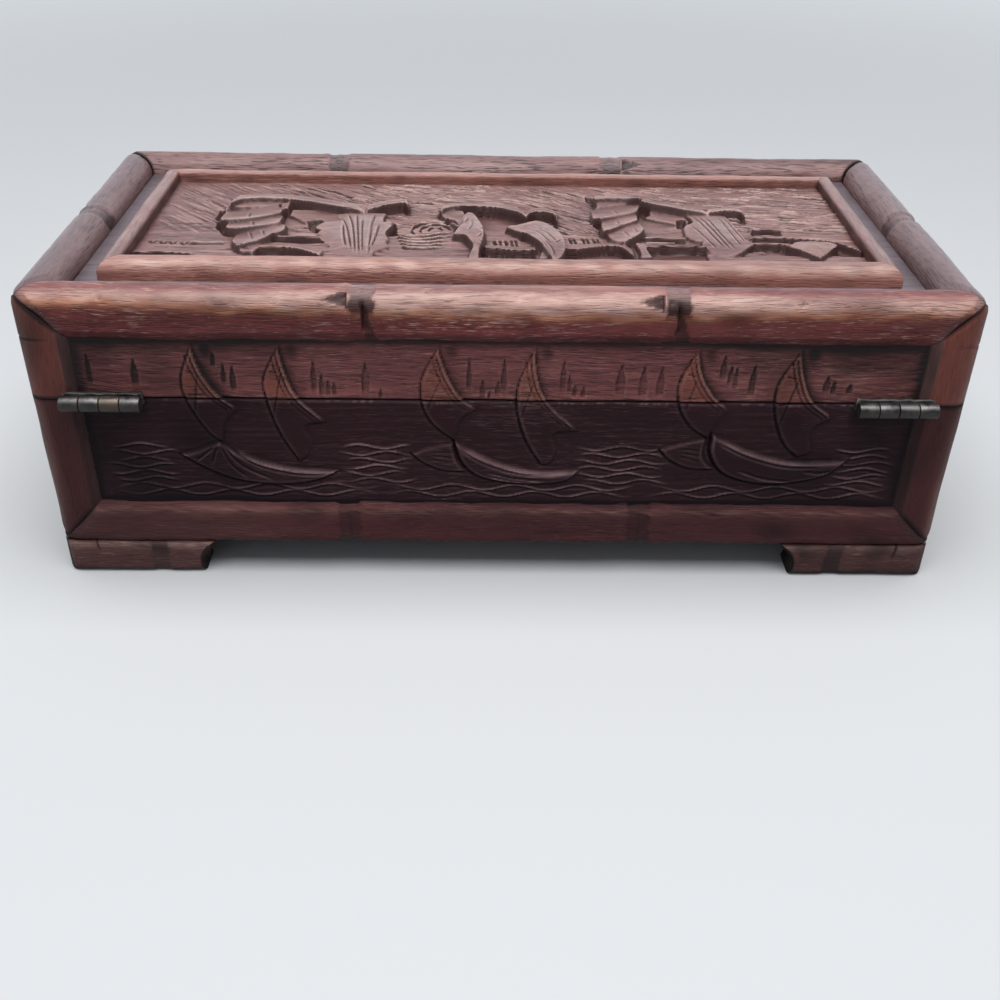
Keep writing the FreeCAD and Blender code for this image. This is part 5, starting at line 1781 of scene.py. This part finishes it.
for body, turn in (("lid", 1), ("base", -1)):
    parts = []
    for place in SCREWS:
        deselect()
        bpy.ops.mesh.primitive_cone_add(vertices=32, radius1=2.0 * MM, radius2=1.1 * MM, depth=HEAD_HEIGHT * MM,
                                        location=(place * MM, SCREW_LINE * MM, (SEAM + turn * HEAD_GAP) * MM),
                                        rotation=(0 if turn > 0 else math.pi, 0, 0))
        head = added("head")
        near, far = SCREW_LINE - SLOT_HALF, SCREW_LINE + SLOT_HALF
        cut_out(head, plate("slot", (place - 2.5, near, SEAM - 0.5), (place + 2.5, far, SEAM + 0.5), 0.05))
        steel_layers(head, 0.2)
        low, high = sorted((SEAM + turn * 0.1, SEAM + turn * 0.5))
        # A dark plate in each slot stands for the shade inside it
        old_dirt = plate("dirt_in_slot", (place - 1.9, near, low), (place + 1.9, far, high), 0.02)
        bare = np.zeros(len(old_dirt.data.vertices))
        paint(old_dirt, wear=bare, grime=bare + 1, warm=bare)
        parts += [head, old_dirt]
    screws = joined(f"{body}_slotted_screws", parts)
    finish_piece(screws, body, [f"{body}_hinge_screws"], STEEL, STEEL_ANGLE)

low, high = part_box("lid_mitre_brad")
centre = (low + high) / 2
deselect()
bpy.ops.mesh.primitive_uv_sphere_add(segments=24, ring_count=12, radius=0.75 * MM, scale=(1, 0.45, 1),
                                     location=(centre.x, high.y - 0.1 * MM, centre.z))
brad = added("lid_brad_head")
bare = np.zeros(len(brad.data.vertices))
paint(brad, wear=bare + 0.2, grime=bare + 0.6)
finish_piece(brad, "lid", ["lid_mitre_brad"], STEEL, STEEL_ANGLE)

# The floor of the box keeps its solid and gets its finish

board_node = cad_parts["bottom_board"]
board_node.data.materials.clear()
board_node.data.materials.append(inside_wood["x"])


# Floor, light and camera

def background_rays(web):
    """1 where the background is looked at, directly or in a reflection, and 0 where it only lights the box."""
    ray = web.node("ShaderNodeLightPath").outputs
    looked_at = web.math("MAXIMUM", ray["Is Camera Ray"], ray["Is Glossy Ray"])
    return web.math("MAXIMUM", looked_at, ray["Is Transmission Ray"])


deselect()
bpy.ops.mesh.primitive_plane_add(size=8, location=(0, 0, 0))
floor = added("studio_floor")
floor_finish, web, shader = new_finish("pale_floor")
looked_at = background_rays(web)
far_off = web.node("ShaderNodeVectorMath", {"Vector": web.place()}, operation="LENGTH").outputs["Value"]
web.plug(shader, {
    "Base Color": web.mix(looked_at, (0.10, 0.12, 0.16, 1), (0.76, 0.77, 0.78, 1)), "Roughness": 0.8,
    "Emission Strength": web.math("MULTIPLY", looked_at, web.ramp(far_off, 0.3, 1.9, 0.0, 0.66)),
    "Emission Color": (0.90, 0.95, 1.0, 1)})
floor.data.materials.append(floor_finish)


def lamp(name, place, aim, size, power, colour):
    """A soft lamp that looks at a place."""
    data = bpy.data.lights.new(name, "AREA")
    data.shape = "RECTANGLE"
    data.size, data.size_y = size
    data.energy = power
    data.color = colour
    made = bpy.data.objects.new(name, data)
    made.location = place
    made.rotation_euler = (Vector(aim) - Vector(place)).to_track_quat("-Z", "Y").to_euler()
    bpy.context.scene.collection.objects.link(made)


lamp("overhead_softbox", (0.0, 0.22, 1.15), (0, 0.05, 0), (1.3, 1.05), 15.5, (0.98, 0.99, 1.0))
lamp("camera_side_fill", (0.6, 1.4, 0.8), (0, 0, 0.05), (1.0, 0.8), 0.7, (0.95, 0.97, 1.0))

world = bpy.data.worlds.new("studio_air")
world.use_nodes = True
web = Web(world.node_tree)
web.plug(world.node_tree.nodes["Background"], {
    "Color": (0.86, 0.92, 1.0, 1), "Strength": web.ramp(background_rays(web), 0.0, 1.0, 0.2, 0.85)})
bpy.context.scene.world = world

PITCH, YAW, ROLL = (math.radians(a) for a in (33.5248, 1.0253, -0.9825))
CAMERA = (0.005236, 0.367176, 0.229683)
LENS = 41.667
forward = Vector((-math.sin(YAW) * math.cos(PITCH), -math.cos(YAW) * math.cos(PITCH), -math.sin(PITCH)))
level = Vector((-math.cos(YAW), math.sin(YAW), 0))
down = forward.cross(level)
right = level * math.cos(ROLL) + down * math.sin(ROLL)
lower = down * math.cos(ROLL) - level * math.sin(ROLL)
camera_data = bpy.data.cameras.new("photo_camera")
camera_data.sensor_width = 36
camera_data.lens = LENS
camera = bpy.data.objects.new("photo_camera", camera_data)
camera.matrix_world = Matrix((*zip(right, -lower, -forward, CAMERA), (0, 0, 0, 1)))
bpy.context.scene.collection.objects.link(camera)
bpy.context.scene.camera = camera
bpy.context.scene.view_settings.view_transform = "Standard"
